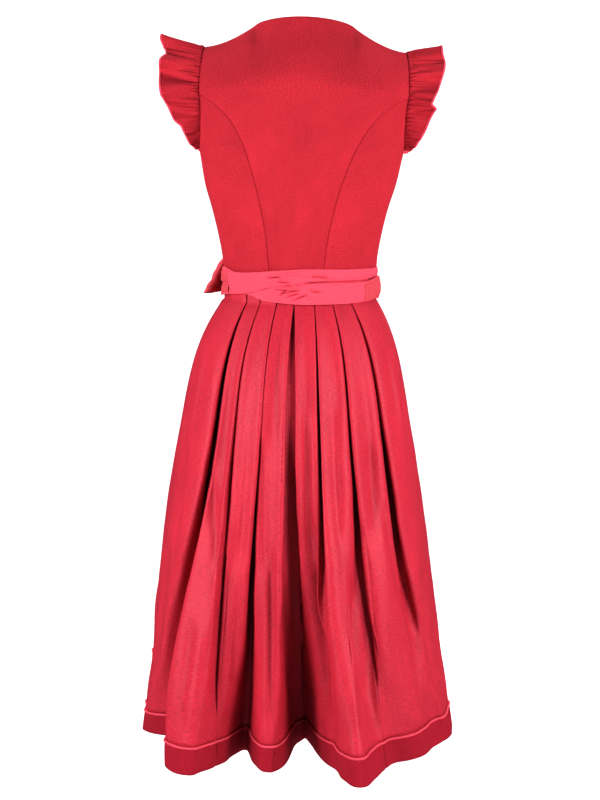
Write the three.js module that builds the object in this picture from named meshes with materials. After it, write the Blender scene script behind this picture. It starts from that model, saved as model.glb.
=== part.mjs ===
// A red midi dirndl on a hollow figure: princess-seamed bodice with wing frills, a pleated skirt
// with a piped hem band, and an apron whose ties cross at the back and end in a bow.
// Millimetres. +Z is up, the front faces -Y and the wearer's left is +X. The origin lies between
// the two neck points, where the shoulders carry the dress.
import * as THREE from 'three';
import { mergeVertices } from 'three/addons/utils/BufferGeometryUtils.js';

// ---- driving sizes -------------------------------------------------------------------------
const WAIST_Z = -388;            // waist seam
const HEM_Z = -1068;             // lowest edge of the skirt
const UNDERARM_Z = -187;
const BLADE_Z = -110;            // level where the princess seams run into the armholes
const NECK_HALF = 73;            // centre line to neck point
const SHOULDER_HALF = 151;       // centre line to shoulder tip
const SHOULDER_DROP = 33;
const SEAM_GAP = 0.3;            // between the edges of two sewn pieces
const CLOTH = { bodice: 1.5, skirt: 1.2, hem: 1.5, piping: 2.4, tie: 1.2, frill: 1, apron: 1, bow: 1 };

const RED = { color: 0xd02a41, roughness: 0.75, metalness: 0 };
const SATIN_RED = { color: 0xdc2c48, roughness: 0.5, metalness: 0 };
const CORAL = { color: 0xfa5a69, roughness: 0.45, metalness: 0 };
const CRIMSON = { color: 0xc62f46, roughness: 0.5, metalness: 0 };

// ---- small tools -----------------------------------------------------------------------------
const degrees = (value) => (value * Math.PI) / 180;
const lerp = (a, b, t) => a + (b - a) * t;
const clamp01 = (t) => Math.min(1, Math.max(0, t));
const smooth = (low, high, value) => {
  const t = clamp01((value - low) / (high - low));
  return t * t * (3 - 2 * t);
};
const vec = (x, y, z) => new THREE.Vector3(x, y, z);
const steps = (count, from = 0, to = 1) =>
  Array.from({ length: count + 1 }, (_, i) => lerp(from, to, i / count));

// Smooth curve through a table's rows, without overshoot: value of column `key` at `at`.
function along(rows, place, key, at) {
  const last = rows.length - 1;
  if (at <= rows[0][place]) return rows[0][key];
  if (at >= rows[last][place]) return rows[last][key];
  const slope = (i) => (rows[i + 1][key] - rows[i][key]) / (rows[i + 1][place] - rows[i][place]);
  const tangent = (i) => {
    if (i === 0) return slope(0);
    if (i === last) return slope(last - 1);
    const before = slope(i - 1);
    const after = slope(i);
    return before * after <= 0 ? 0 : (2 * before * after) / (before + after);
  };
  let i = 0;
  while (at > rows[i + 1][place]) i += 1;
  const width = rows[i + 1][place] - rows[i][place];
  const t = (at - rows[i][place]) / width;
  return hermite(rows[i][key], rows[i + 1][key], tangent(i) * width, tangent(i + 1) * width, t);
}

function hermite(start, end, startTangent, endTangent, t) {
  const s = t - 1;
  return (1 + 2 * t) * s * s * start + t * t * (3 - 2 * t) * end
    + t * s * s * startTangent + t * t * s * endTangent;
}

// A closed wall of cloth on a grid of { point, normal }: both faces and the rim.
function wall(grid, thickness) {
  const rows = grid.length;
  const columns = grid[0].length;
  const positions = [];
  for (const side of [0.5, -0.5]) {
    for (const row of grid) {
      for (const { point, normal } of row) {
        positions.push(...point.clone().addScaledVector(normal, side * thickness).toArray());
      }
    }
  }
  const inner = rows * columns;
  const index = [];
  const quad = (a, b, c, d) => index.push(a, b, c, a, c, d);
  const at = (i, j) => i * columns + j;
  for (let i = 0; i < rows - 1; i += 1) {
    for (let j = 0; j < columns - 1; j += 1) {
      quad(at(i, j), at(i, j + 1), at(i + 1, j + 1), at(i + 1, j));
      const [a, b, c] = [at(i, j), at(i, j + 1), at(i + 1, j + 1)].map((k) => k + inner);
      const d = at(i + 1, j) + inner;
      index.push(a, c, b, a, d, c);
    }
  }
  const rim = (a, b) => quad(a, a + inner, b + inner, b);
  for (let j = 0; j < columns - 1; j += 1) {
    rim(at(0, j), at(0, j + 1));
    rim(at(rows - 1, j + 1), at(rows - 1, j));
  }
  for (let i = 0; i < rows - 1; i += 1) {
    rim(at(i + 1, 0), at(i, 0));
    rim(at(i, columns - 1), at(i + 1, columns - 1));
  }
  return closed(positions, index);
}

// Six times the volume tells which way the faces look; turn them out where they look in.
function closed(positions, index) {
  let volume = 0;
  const corner = (k) => vec(positions[3 * k], positions[3 * k + 1], positions[3 * k + 2]);
  for (let i = 0; i < index.length; i += 3) {
    volume += corner(index[i]).dot(corner(index[i + 1]).cross(corner(index[i + 2])));
  }
  if (volume < 0) {
    for (let i = 0; i < index.length; i += 3) {
      [index[i + 1], index[i + 2]] = [index[i + 2], index[i + 1]];
    }
  }
  const geometry = new THREE.BufferGeometry();
  geometry.setAttribute('position', new THREE.Float32BufferAttribute(positions, 3));
  geometry.setIndex(index);
  geometry.computeVertexNormals();
  return geometry;
}

// Pull a grid's edges in by half a seam gap, towards the next row or column.
function trimmed(grid) {
  const pull = (edge, next) => {
    const step = next.point.clone().sub(edge.point);
    const amount = Math.min(SEAM_GAP / 2 / Math.max(step.length(), 1e-6), 0.45);
    return { point: edge.point.clone().addScaledVector(step, amount), normal: edge.normal };
  };
  const last = grid.length - 1;
  const rows = grid.map((row, i) => {
    if (i === 0) return row.map((cell, j) => pull(cell, grid[1][j]));
    if (i === last) return row.map((cell, j) => pull(cell, grid[last - 1][j]));
    return row;
  });
  return rows.map((row) => {
    const end = row.length - 1;
    return row.map((cell, j) => {
      if (j === 0) return pull(cell, row[1]);
      if (j === end) return pull(cell, row[end - 1]);
      return cell;
    });
  });
}

// Grid of a surface given as place(a, b), with normals that look away from `inside`.
function surfaceGrid(place, as, bs, inside) {
  const small = 1e-3;
  return as.map((a) => bs.map((b) => {
    const stepA = a + small > Math.max(...as) ? -small : small;
    const stepB = b + small > Math.max(...bs) ? -small : small;
    const point = place(a, b);
    const alongA = place(a + stepA, b).sub(point).divideScalar(stepA);
    const alongB = place(a, b + stepB).sub(point).divideScalar(stepB);
    const normal = alongA.cross(alongB).normalize();
    if (normal.dot(point.clone().sub(inside(point))) < 0) normal.negate();
    return { point, normal };
  }));
}

const dress = new THREE.Group();
function add(name, geometry, finish) {
  const mesh = new THREE.Mesh(geometry, new THREE.MeshStandardMaterial(finish));
  mesh.name = name;
  dress.add(mesh);
}

// ---- bodice: the hollow figure -----------------------------------------------------------------
// half: side distance, back/front: depth from the axis, power: 2 is an ellipse, more is squarer.
const TORSO = [
  { z: -388, half: 108, back: 84, front: 84, power: 2.0 },
  { z: -366, half: 114, back: 89.5, front: 91, power: 2.0 },
  { z: -345, half: 116, back: 92.5, front: 95, power: 2.0 },
  { z: -308, half: 123, back: 99, front: 106, power: 2.05 },
  { z: -272, half: 132, back: 106, front: 119, power: 2.1 },
  { z: -236, half: 143, back: 111, front: 125, power: 2.15 },
  { z: -199, half: 150.5, back: 113, front: 119, power: 2.2 },
  { z: -150, half: 160, back: 110, front: 102, power: 2.2 },
  { z: -110, half: 167, back: 106, front: 86, power: 2.2 },
];
const LEAN = 8;                    // how far the neck stands over to the right
const ROLL = 0.03;                 // left shoulder higher than the right, per unit of width
const SEAM_DRIFT = 6;              // back princess seams lie this far to the left at the waist

function torsoPoint(face, turn, z) {
  const half = along(TORSO, 'z', 'half', z);
  const depth = along(TORSO, 'z', face > 0 ? 'back' : 'front', z);
  const power = 2 / along(TORSO, 'z', 'power', z);
  return vec(half * Math.cos(turn) ** power, face * depth * Math.sin(turn) ** power, z);
}

function turnAt(x, z) {
  const half = along(TORSO, 'z', 'half', z);
  return Math.acos(Math.min(1, Math.abs(x) / half) ** (along(TORSO, 'z', 'power', z) / 2));
}

function lean(point) {
  const amount = smooth(-300, 0, point.z);
  return vec(point.x - LEAN * amount, point.y, point.z + ROLL * point.x * amount);
}

// Upper end of the yoke at a distance x from the centre: shoulder line or neck edge.
function yokeTop(face, x) {
  const across = Math.abs(x);
  const out = clamp01((across - NECK_HALF) / (SHOULDER_HALF - NECK_HALF));
  const arch = Math.max(0, 1 - (across / NECK_HALF) ** 2) ** 0.7;
  const shoulderZ = -SHOULDER_DROP * (1 - (1 - out) ** 1.4);
  const neckY = face > 0 ? 46 : -58;
  const neckZ = face > 0 ? 10 : -45;
  const flat = smooth(NECK_HALF - 14, NECK_HALF + 14, across);
  return {
    y: 10 - 13 * out + neckY * arch,
    z: shoulderZ + neckZ * arch,
    forward: lerp(0.35, 1, flat),
    rise: lerp(1, 0.12, flat),
  };
}

// Level 0 is the waist, 1 the shoulder blades and 2 the shoulder line or neck.
function bodicePoint(face, x, level) {
  if (level <= 1) {
    const z = lerp(WAIST_Z, BLADE_Z, level);
    const point = torsoPoint(face, turnAt(x, z), z);
    return vec(x, point.y, z);
  }
  const t = level - 1;
  const low = bodicePoint(face, x, 1);
  const under = bodicePoint(face, x, 0.98);
  const top = yokeTop(face, x);
  const run = top.z - BLADE_Z;
  const slope = (low.y - under.y) / (low.z - under.z);
  const y = hermite(low.y, top.y, 0.5 * slope * run, -face * top.forward * run * 0.8, t);
  const z = hermite(low.z, top.z, run, top.rise * run * 0.8, t);
  return vec(x, y, z);
}

// Distance of the princess seam from the centre; it sweeps out into the armhole.
function princessHalf(face, z) {
  const u = clamp01((z - WAIST_Z) / (BLADE_Z - WAIST_Z));
  const sweep = 0.66 * u ** 1.8 + 0.34 * u ** 9;
  return face > 0 ? lerp(39, 154, sweep) : lerp(42, 137, sweep);
}

function seamX(face, side, level) {
  if (level > 1) {
    const t = level - 1;
    const bow = t * (1 - t);
    return side * (face > 0 ? lerp(154, SHOULDER_HALF, t) + 8 * bow
      : lerp(137, SHOULDER_HALF, t) - 26 * bow * (1 - t));
  }
  const drift = face > 0 ? SEAM_DRIFT * (1 - level) : 0;
  return side * princessHalf(face, lerp(WAIST_Z, BLADE_Z, level)) + drift;
}

// Lower armhole: the turn of its edge on the figure, from the underarm up to the princess seam.
function armholeTurn(face, z) {
  const top = turnAt(face > 0 ? 154 : 137, BLADE_Z);
  const t = clamp01((z - BLADE_Z) / (UNDERARM_Z - BLADE_Z));
  return top * Math.sqrt(1 - t * t);
}

const axisPoint = (point) => vec(0, 0, Math.min(point.z, -80));

// Heights at which neighbouring panels share their seam points, and the same as levels.
const SEAM_ROWS = [WAIST_Z, -366, -345, -308, -272, -236, -208, UNDERARM_Z, -180, -166, -148, -128,
  BLADE_Z - 1.5];
const SEAM_LEVELS = SEAM_ROWS.map((z) => (z - WAIST_Z) / (BLADE_Z - WAIST_Z));
const YOKE_LEVELS = steps(4, 1, 2);
// Columns of the front panels, as shares of the width; the back has them on both sides.
const NECK_SHARE = NECK_HALF / SHOULDER_HALF;
const YOKE_COLUMNS = [0, 0.17, 0.33, NECK_SHARE, 0.66, 0.83, 1];

// The shoulder seam stands upright on the slope, so that both panels meet on one plane.
function uprightShoulders(grid, columnOf) {
  const last = grid.length - 1;
  return grid.map((row, i) => (i < last ? row : row.map((cell, j) => {
    const share = columnOf(j);
    if (Math.abs(share) < NECK_SHARE - 1e-6) return cell;
    return { point: cell.point, normal: vec(0.3 * Math.sign(share), 0, 1).normalize() };
  })));
}

function centreBack() {
  const place = (level, share) => lean(bodicePoint(1,
    lerp(seamX(1, -1, level), seamX(1, 1, level), (share + 1) / 2), level));
  const columns = [...YOKE_COLUMNS.slice(1).map((share) => -share).reverse(), ...YOKE_COLUMNS];
  const rows = [...SEAM_LEVELS, ...YOKE_LEVELS];
  const grid = uprightShoulders(surfaceGrid(place, rows, columns, axisPoint), (j) => columns[j]);
  add('bodice_back', wall(trimmed(grid), CLOTH.bodice), RED);
}

function sidePanel(face, side, name) {
  const place = (z, u) => {
    const level = (z - WAIST_Z) / (BLADE_Z - WAIST_Z);
    const seamTurn = turnAt(seamX(face, side, level), z);
    const edgeTurn = z > UNDERARM_Z ? armholeTurn(face, z) : 0;
    const point = torsoPoint(face, lerp(edgeTurn, seamTurn, u), z);
    return lean(vec(side * point.x, point.y, z));
  };
  add(name, wall(trimmed(surfaceGrid(place, SEAM_ROWS, steps(4), axisPoint)), CLOTH.bodice), RED);
}

// Height of the front neck edge at a distance from the centre.
const NECKLINE_FRONT_Z = -165;
const BELOW_NECKLINE = 0.65;       // level up to which the front panels' rows run straight across
function frontNeckZ(x) {
  return NECKLINE_FRONT_Z * (1 - (Math.abs(x) / NECK_HALF) ** 1.5);
}

function centreFront(side, name) {
  const xAt = (u, level) => u * seamX(-1, side, level);
  const topLevel = (u) => {
    if (u >= NECK_SHARE) return 2;
    let low = 0.5;
    let high = 2;
    for (let i = 0; i < 40; i += 1) {
      const middle = (low + high) / 2;
      const x = xAt(u, middle);
      const above = Math.abs(x) < NECK_HALF && bodicePoint(-1, x, middle).z > frontNeckZ(x);
      if (above) high = middle;
      else low = middle;
    }
    return low;
  };
  const place = (row, u) => {
    const above = clamp01((row - BELOW_NECKLINE) / (2 - BELOW_NECKLINE));
    const level = above > 0 ? lerp(BELOW_NECKLINE, topLevel(u), above) : row;
    return lean(bodicePoint(-1, xAt(u, level), level));
  };
  const rows = [...SEAM_LEVELS, ...YOKE_LEVELS];
  const grid = uprightShoulders(surfaceGrid(place, rows, YOKE_COLUMNS, axisPoint),
    (j) => side * YOKE_COLUMNS[j]);
  add(name, wall(trimmed(grid), CLOTH.bodice), RED);
}

// ---- frills: gathered wings in the armholes -------------------------------------------------------
// lift: how far each stands up off the shoulder; taper: over which its ends narrow to nothing
const FRILLS = {
  left: { side: 1, width: 60, taper: 98, lift: 0.38 },
  right: { side: -1, width: 51, taper: 108, lift: 0.2 },
};
const FRILL_WAVES = 9;
const FRILL_WAVE_DEPTH = 9;
const FRILL_EDGE = 3;              // width of the rolled coral edge

// The armhole's edge as a list of points, up the back and down the front.
function armhole(side) {
  const point = (face, place) => {
    if (place.level) return bodicePoint(face, seamX(face, 1, place.level), place.level);
    return torsoPoint(face, armholeTurn(face, place.z), place.z);
  };
  const low = steps(10, UNDERARM_Z + 1, BLADE_Z).map((z) => ({ z }));
  const high = steps(10, 1.02, 1.98).map((level) => ({ level }));
  const up = [...low, ...high].map((place) => point(1, place));
  const down = [...low, ...high].reverse().map((place) => point(-1, place));
  return new THREE.CatmullRomCurve3([...up, ...down].map((p) => lean(vec(side * p.x, p.y, p.z))));
}

function frillGrid({ side, width: full, taper, lift }, reach) {
  const edge = armhole(side);
  const length = edge.getLength();
  const places = steps(46, 0.02, 0.98);
  return places.map((s) => {
    const root = edge.getPointAt(s);
    const tangent = edge.getTangentAt(s);
    const height = smooth(-190, -40, root.z);
    const back = s < 0.5 ? 1 : -1;
    const out = vec(side, 0.16 * back * (1 - height), lerp(-0.22, lift, height)).normalize();
    const fromEnd = Math.min(s, 1 - s) * length;
    const width = full * Math.min(1, fromEnd / taper) ** 0.85;
    const normal = out.clone().cross(tangent).normalize();
    if (normal.dot(vec(0, back * (1 - height), height)) < 0) normal.negate();
    const wave = Math.sin(FRILL_WAVES * 2 * Math.PI * s + 0.6) + 0.3 * Math.sin(31 * s);
    return reach.map(({ share, start, end }) => {
      const run = Math.max(1, width - FRILL_EDGE - SEAM_GAP);
      const distance = 1 + (start ?? 0) + run * share + (end ?? 0);
      const swing = FRILL_WAVE_DEPTH * wave * (distance / full) ** 1.3;
      return root.clone().addScaledVector(out, distance).addScaledVector(normal, swing);
    });
  });
}

function withNormals(points, like) {
  const last = points.length - 1;
  return points.map((row, i) => row.map((point, j) => {
    const before = points[Math.max(0, i - 1)][j];
    const after = points[Math.min(last, i + 1)][j];
    const inward = row[Math.max(0, j - 1)];
    const outward = row[Math.min(row.length - 1, j + 1)];
    const normal = after.clone().sub(before).cross(outward.clone().sub(inward)).normalize();
    if (like && normal.dot(like(point, i)) < 0) normal.negate();
    return { point, normal };
  }));
}

function frill(name) {
  const strip = frillGrid(FRILLS[name], [{ share: 0 }, { share: 0.5 }, { share: 1 }]);
  add(`frill_${name}`, wall(withNormals(strip), CLOTH.frill), RED);
  const edging = frillGrid(FRILLS[name], [
    { share: 1, end: 1.6 * SEAM_GAP }, { share: 1, end: SEAM_GAP + FRILL_EDGE }]);
  add(`frill_edge_${name}`, wall(withNormals(edging), CLOTH.frill + 0.6), CORAL);
}

// ---- skirt: fold lines from waist to hem ----------------------------------------------------------
const WAIST_RING = { half: 114.4, depth: 90.4 };   // pleat edges at the waist
const HIP_RING = { half: 175.5, depth: 149 };      // where the hip flare has spent itself
const HEM_RING = { half: 248, depth: 196 };        // the plain cone that all folds set off along
const OPENING = 0.3;                               // how soon a fold leaves that cone for its own
const EDGE_STAND = 3.5;                            // how far a fold's edge stands out as it opens
const HIP_SHIFT = vec(7, 0, 0);                    // the skirt hangs over to the left
const HEM_SHIFT = vec(14, 0, 0);
const HIP_LEVEL = 0.3;                             // of the way from belt to hem
const HIP_OVERLAP = 0.38;                          // share of a pleat's lap still closed there
const FLARE = 2.2;                                 // how sharply the skirt springs from the belt
const LAP = 7.2;                                   // degrees of turn that a pleat laps at the waist
const PLEAT_DEPTH = 6;
const FOLD_WIDTH = 2.2;                            // between the two arms of a folded edge
const SOFT_SPREAD = 1.2;                           // degrees, either side of a soft line

// One row per fold line, in order round the ring from the centre front past the wearer's left.
// turn: degrees from centre back, left positive; lap: 1 or -1 where the line is the pleat's inner
// fold, tucked back to the left or right; depth: share of the pleat's depth at the waist;
// x, y: where the line meets the hem; round: how softly it turns there; lift: hem height.
const FOLDS = [
  { turn: 180, lap: 0, depth: 0, x: 4, y: -212, round: 24, lift: 30 },
  { turn: 169, lap: 0, depth: 0.1, x: 38, y: -184, round: 20, lift: 31 },
  { turn: 158, lap: 0, depth: 0, x: 78, y: -214, round: 24, lift: 31 },
  { turn: 147, lap: 0, depth: 0.1, x: 112, y: -178, round: 20, lift: 34 },
  { turn: 136, lap: 0, depth: 0, x: 160, y: -202, round: 24, lift: 36 },
  { turn: 120, lap: -1, depth: 1, x: 172, y: -142, round: 14, lift: 38, fold: 'inner' },
  { turn: 120, lap: 0, depth: 0, x: 214, y: -172, round: 14, lift: 42, fold: 'outer' },
  { turn: 109, lap: 0, depth: 0.38, x: 238, y: -140, round: 16, lift: 42 },
  { turn: 98, lap: -1, depth: 1, x: 190, y: -98, round: 16, lift: 24, fold: 'inner' },
  { turn: 98, lap: 0, depth: 0, x: 226, y: -90, round: 14, lift: 12, fold: 'outer' },
  { turn: 80, lap: 0, depth: 0.3, x: 240, y: -62, round: 16, lift: 4 },
  { turn: 62, lap: 0, depth: 0.1, x: 243, y: -44, round: 14, lift: 1 },
  { turn: 44, lap: 0, depth: 0, x: 235, y: -22, round: 16, lift: 0, fold: 'outer' },
  { turn: 44, lap: 1, depth: 1, x: 164, y: 40, round: 12, lift: 6, fold: 'inner' },
  { turn: 43, lap: 0, depth: 0.75, x: 194, y: 130, round: 8, lift: 0 },
  { turn: 37, lap: 0, depth: 0.29, x: 158, y: 186, round: 22, lift: 0 },
  { turn: 31.1, lap: 0, depth: 0, x: 136, y: 158, round: 6, lift: 0, fold: 'outer' },
  { turn: 31.1, lap: 1, depth: 1, x: 126, y: 145, round: 6, lift: 0, fold: 'inner' },
  { turn: 24, lap: 0, depth: 0.3, x: 108, y: 124, round: 6, lift: 0 },
  { turn: 18, lap: 0, depth: 0, x: 101, y: 88, round: 8, lift: 0, fold: 'outer' },
  { turn: 18, lap: 1, depth: 1, x: 77, y: 54, round: 12, lift: 0, fold: 'inner' },
  { turn: 16.2, lap: 0, depth: 0.56, x: 66, y: 128, round: 8, lift: 0 },
  { turn: 10.5, lap: 0, depth: 0.28, x: 46, y: 170, round: 12, lift: 0 },
  { turn: 4.9, lap: 0, depth: 0, x: 28, y: 154, round: 10, lift: 0, fold: 'outer' },
  { turn: 4.9, lap: 1, depth: 1, x: 4, y: 36, round: 8, lift: 0, fold: 'inner' },
  { turn: 3.6, lap: -1, depth: 1, x: -8, y: 4, round: 6, lift: 0, fold: 'inner' },
  { turn: 3.6, lap: 0, depth: 0, x: -20, y: 52, round: 8, lift: 0, fold: 'outer' },
  { turn: -4, lap: 0, depth: 0.35, x: -38, y: 122, round: 10, lift: 0 },
  { turn: -11.2, lap: -1, depth: 1, x: -55, y: 158, round: 6, lift: 0, fold: 'inner' },
  { turn: -11.2, lap: 0, depth: 0, x: -60, y: 186, round: 6, lift: 0, fold: 'outer' },
  { turn: -17.5, lap: 0, depth: 0.3, x: -82, y: 228, round: 12, lift: 0 },
  { turn: -25.1, lap: -1, depth: 1, x: -113, y: 168, round: 8, lift: 0, fold: 'inner' },
  { turn: -25.1, lap: 0, depth: 0, x: -131, y: 122, round: 8, lift: 0, fold: 'outer' },
  { turn: -33, lap: 0, depth: 0.34, x: -168, y: 100, round: 14, lift: 0 },
  { turn: -41.4, lap: -1, depth: 1, x: -206, y: 34, round: 14, lift: 0, fold: 'inner' },
  { turn: -41.4, lap: 0, depth: 0, x: -226, y: 0, round: 14, lift: 0, fold: 'outer' },
  { turn: -60, lap: 0, depth: 0.1, x: -233, y: -26, round: 14, lift: 0 },
  { turn: -80, lap: 0, depth: 0.3, x: -231, y: -58, round: 16, lift: 4 },
  { turn: -98, lap: 0, depth: 0, x: -222, y: -84, round: 14, lift: 10, fold: 'outer' },
  { turn: -98, lap: 1, depth: 1, x: -184, y: -92, round: 14, lift: 16, fold: 'inner' },
  { turn: -109, lap: 0, depth: 0.38, x: -232, y: -138, round: 18, lift: 24 },
  { turn: -120, lap: 0, depth: 0, x: -204, y: -172, round: 14, lift: 30, fold: 'outer' },
  { turn: -120, lap: 1, depth: 1, x: -162, y: -142, round: 14, lift: 32, fold: 'inner' },
  { turn: -136, lap: 0, depth: 0, x: -150, y: -202, round: 24, lift: 32 },
  { turn: -147, lap: 0, depth: 0.1, x: -106, y: -180, round: 20, lift: 31 },
  { turn: -158, lap: 0, depth: 0, x: -72, y: -214, round: 24, lift: 30 },
  { turn: -169, lap: 0, depth: 0.1, x: -34, y: -184, round: 20, lift: 30 },
];
const SEAM_LEFT = 13;              // row of FOLDS after which the back panel starts, inside a pleat
const SEAM_RIGHT = 31;             // row after which it ends
const HEM_BAND = 34;
const PIPING = 2.6;
const BELT_EDGE_Z = -407;          // lower edge of the belt at the sides and front
const BELT_DIP = 10;               // how much lower it lies at centre back
const LEVELS = [0, 0.05, 0.13, 0.22, 0.33, 0.47, 0.7];

const ringPoint = (ring, turn, off) => vec(
  (ring.half + off) * Math.sin(degrees(turn)), (ring.depth + off) * Math.cos(degrees(turn)), 0);

// How deep a fold line lies at the waist. A folded edge has two arms, one of them hidden.
function foldDepth(fold, hidden) {
  if (!fold.fold) return fold.depth * PLEAT_DEPTH;
  if (fold.fold === 'outer') return hidden ? FOLD_WIDTH : 0;
  return hidden ? PLEAT_DEPTH - FOLD_WIDTH : PLEAT_DEPTH;
}

// Each fold line gives two points on every section, one on either side of its turn.
const FOLD_LINES = FOLDS.flatMap((fold, k) => [-1, 1].map((side) => {
  const neighbour = FOLDS[(k + side + FOLDS.length) % FOLDS.length];
  const hidden = Boolean(fold.fold) && Boolean(neighbour.fold) && neighbour.turn === fold.turn;
  const spread = fold.fold ? 0 : -side * SOFT_SPREAD;
  const depth = foldDepth(fold, hidden);
  const hem = vec(fold.x, fold.y, 0);
  const step = vec(neighbour.x, neighbour.y, 0).sub(hem);
  const waistTurn = fold.turn + fold.lap * LAP + spread;
  const hipTurn = fold.turn + fold.lap * LAP * HIP_OVERLAP + spread;
  return {
    fold,
    turn: waistTurn,
    waist: ringPoint(WAIST_RING, waistTurn, -depth),
    hip: ringPoint(HIP_RING, hipTurn, -2 * depth).add(HIP_SHIFT),
    cone: ringPoint(HEM_RING, hipTurn, -2 * depth).add(HEM_SHIFT),
    stand: ringPoint(WAIST_RING, hipTurn, 0).normalize().multiplyScalar(4 * (
      { outer: EDGE_STAND, inner: -EDGE_STAND }[fold.fold] ?? 0)),
    hem: hem.addScaledVector(step.clone().normalize(), Math.min(fold.round, 0.42 * step.length())),
    top: BELT_EDGE_Z - BELT_DIP * Math.max(0, Math.cos(degrees(waistTurn))),
    low: HEM_Z + fold.lift,
  };
}));

// The side seams run midway between two lines, where the cloth lies flat inside a pleat.
function between(a, b) {
  const middle = (key) => a[key].clone().add(b[key]).multiplyScalar(0.5);
  return { fold: { turn: NaN, fold: 'inner' }, waist: middle('waist'), hip: middle('hip'),
    cone: middle('cone'), stand: middle('stand'), hem: middle('hem'),
    top: (a.top + b.top) / 2, low: (a.low + b.low) / 2 };
}
const FOLD_POINTS = FOLD_LINES.flatMap((line, i) => {
  const ends = [SEAM_LEFT, SEAM_RIGHT].includes(Math.floor(i / 2)) && i % 2 === 1;
  return ends ? [line, between(line, FOLD_LINES[i + 1])] : [line];
});

// A fold point at level 0, under the belt, to 1, the hem.
function drape(line, level) {
  const z = lerp(line.top, line.low, level);
  if (level <= 0) return vec(line.waist.x, line.waist.y, z);
  const out = (key) => lerp(line.cone[key], line.hem[key], OPENING) - line.hip[key]
    + line.stand[key];
  if (level >= HIP_LEVEL) {
    const t = (level - HIP_LEVEL) / (1 - HIP_LEVEL);
    const run = (key) => line.hip[key] + out(key) * t
      + (line.hem[key] - line.hip[key] - out(key)) * t * t;
    return vec(run('x'), run('y'), z);
  }
  const share = HIP_LEVEL / (1 - HIP_LEVEL);
  const swing = (key) => hermite(line.waist[key], line.hip[key],
    FLARE * (line.hip[key] - line.waist[key]), share * out(key), level / HIP_LEVEL);
  return vec(swing('x'), swing('y'), z);
}

const levelAtHeight = (line, height) => 1 - height / (line.top - line.low);

// Section of cloth at each level: points with level normals, lengthened where the section turns.
function withRingNormals(points, closedRing) {
  const count = points.length;
  const outward = (a, b) => vec(b.y - a.y, a.x - b.x, 0).normalize();
  return points.map((point, i) => {
    const before = closedRing ? points[(i - 1 + count) % count] : points[Math.max(0, i - 1)];
    const after = closedRing ? points[(i + 1) % count] : points[Math.min(count - 1, i + 1)];
    const first = before === point ? outward(point, after) : outward(before, point);
    const second = after === point ? first : outward(point, after);
    const normal = first.clone().add(second).normalize();
    return { point, normal: normal.divideScalar(Math.max(normal.dot(first), 0.62)) };
  });
}

function cut(ring, from, to) {
  const count = ring.length;
  const length = ((to - from + count) % count) + 1;
  return Array.from({ length }, (_, i) => ring[(from + i) % count]);
}

// The left and right panels meet at the centre front, where the closing's slit runs on.
function skirtPieces(name, rings, thickness, finish) {
  const left = 2 * SEAM_LEFT + 2;
  const right = 2 * SEAM_RIGHT + 3;
  const panels = { left: [0, left], back: [left, right], right: [right, 0] };
  Object.entries(panels).forEach(([panel, [from, to]]) => {
    const grid = rings.map((ring) => cut(ring, from, to));
    add(`${name}_${panel}`, wall(trimmed(grid), thickness), finish);
  });
}

const ringAt = (levelOf) => withRingNormals(
  FOLD_POINTS.map((line) => drape(line, levelOf(line))), true);

function skirt() {
  const seam = withRingNormals(FOLD_POINTS.map(({ waist }) => vec(waist.x, waist.y, WAIST_Z)), true);
  const rings = [seam, ...LEVELS.map((level) => ringAt(() => level)),
    ringAt((line) => levelAtHeight(line, HEM_BAND + PIPING))];
  skirtPieces('skirt', rings, CLOTH.skirt, SATIN_RED);
  skirtPieces('hem_piping', [
    ringAt((line) => levelAtHeight(line, HEM_BAND + PIPING - SEAM_GAP)),
    ringAt((line) => levelAtHeight(line, HEM_BAND + SEAM_GAP))], CLOTH.piping, CORAL);
  skirtPieces('hem_band', [ringAt((line) => levelAtHeight(line, HEM_BAND)), ringAt(() => 1)],
    CLOTH.hem, SATIN_RED);
}

// ---- apron: its panel hangs over the front folds, its waistband and ties go round the waist --------
const APRON_TURN = 120;            // the panel ends this far round from centre back
const APRON_CLEAR = 3.2;           // from the middle of the skirt's cloth
const APRON_SHORTER = 52;          // than the skirt

// The apron lies on the outer folds only, so it spans each pleat's lap.
const APRON_LINES = (() => {
  const lines = FOLD_POINTS.filter(({ fold }) => (
    Math.abs(fold.turn) >= APRON_TURN && fold.fold !== 'inner'));
  const right = lines.filter(({ fold }) => fold.turn < 0);
  const left = lines.filter(({ fold }) => fold.turn > 0);
  return [...right, ...left].map((line, i) => {
    const apart = (i % 2 ? -1 : 1) * SOFT_SPREAD / 2;
    const turn = line.fold.fold ? line.fold.turn + apart : line.turn;
    return { ...line, waist: ringPoint(WAIST_RING, turn, 0),
      hip: ringPoint(HIP_RING, turn, 0).add(HIP_SHIFT),
      cone: ringPoint(HEM_RING, turn, 0).add(HEM_SHIFT) };
  });
})();

const apronSection = (levelOf) => withRingNormals(
  APRON_LINES.map((line) => drape(line, levelOf(line))), false);

function apronPanel() {
  const bottom = (line) => levelAtHeight(line, APRON_SHORTER);
  const rings = [...LEVELS.map((level) => () => level), bottom].map((levelOf) => (
    apronSection(levelOf).map(({ point, normal }) => ({
      point: point.clone().addScaledVector(normal, APRON_CLEAR), normal }))));
  add('apron_panel', wall(trimmed(rings), CLOTH.apron), CORAL);
}

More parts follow.
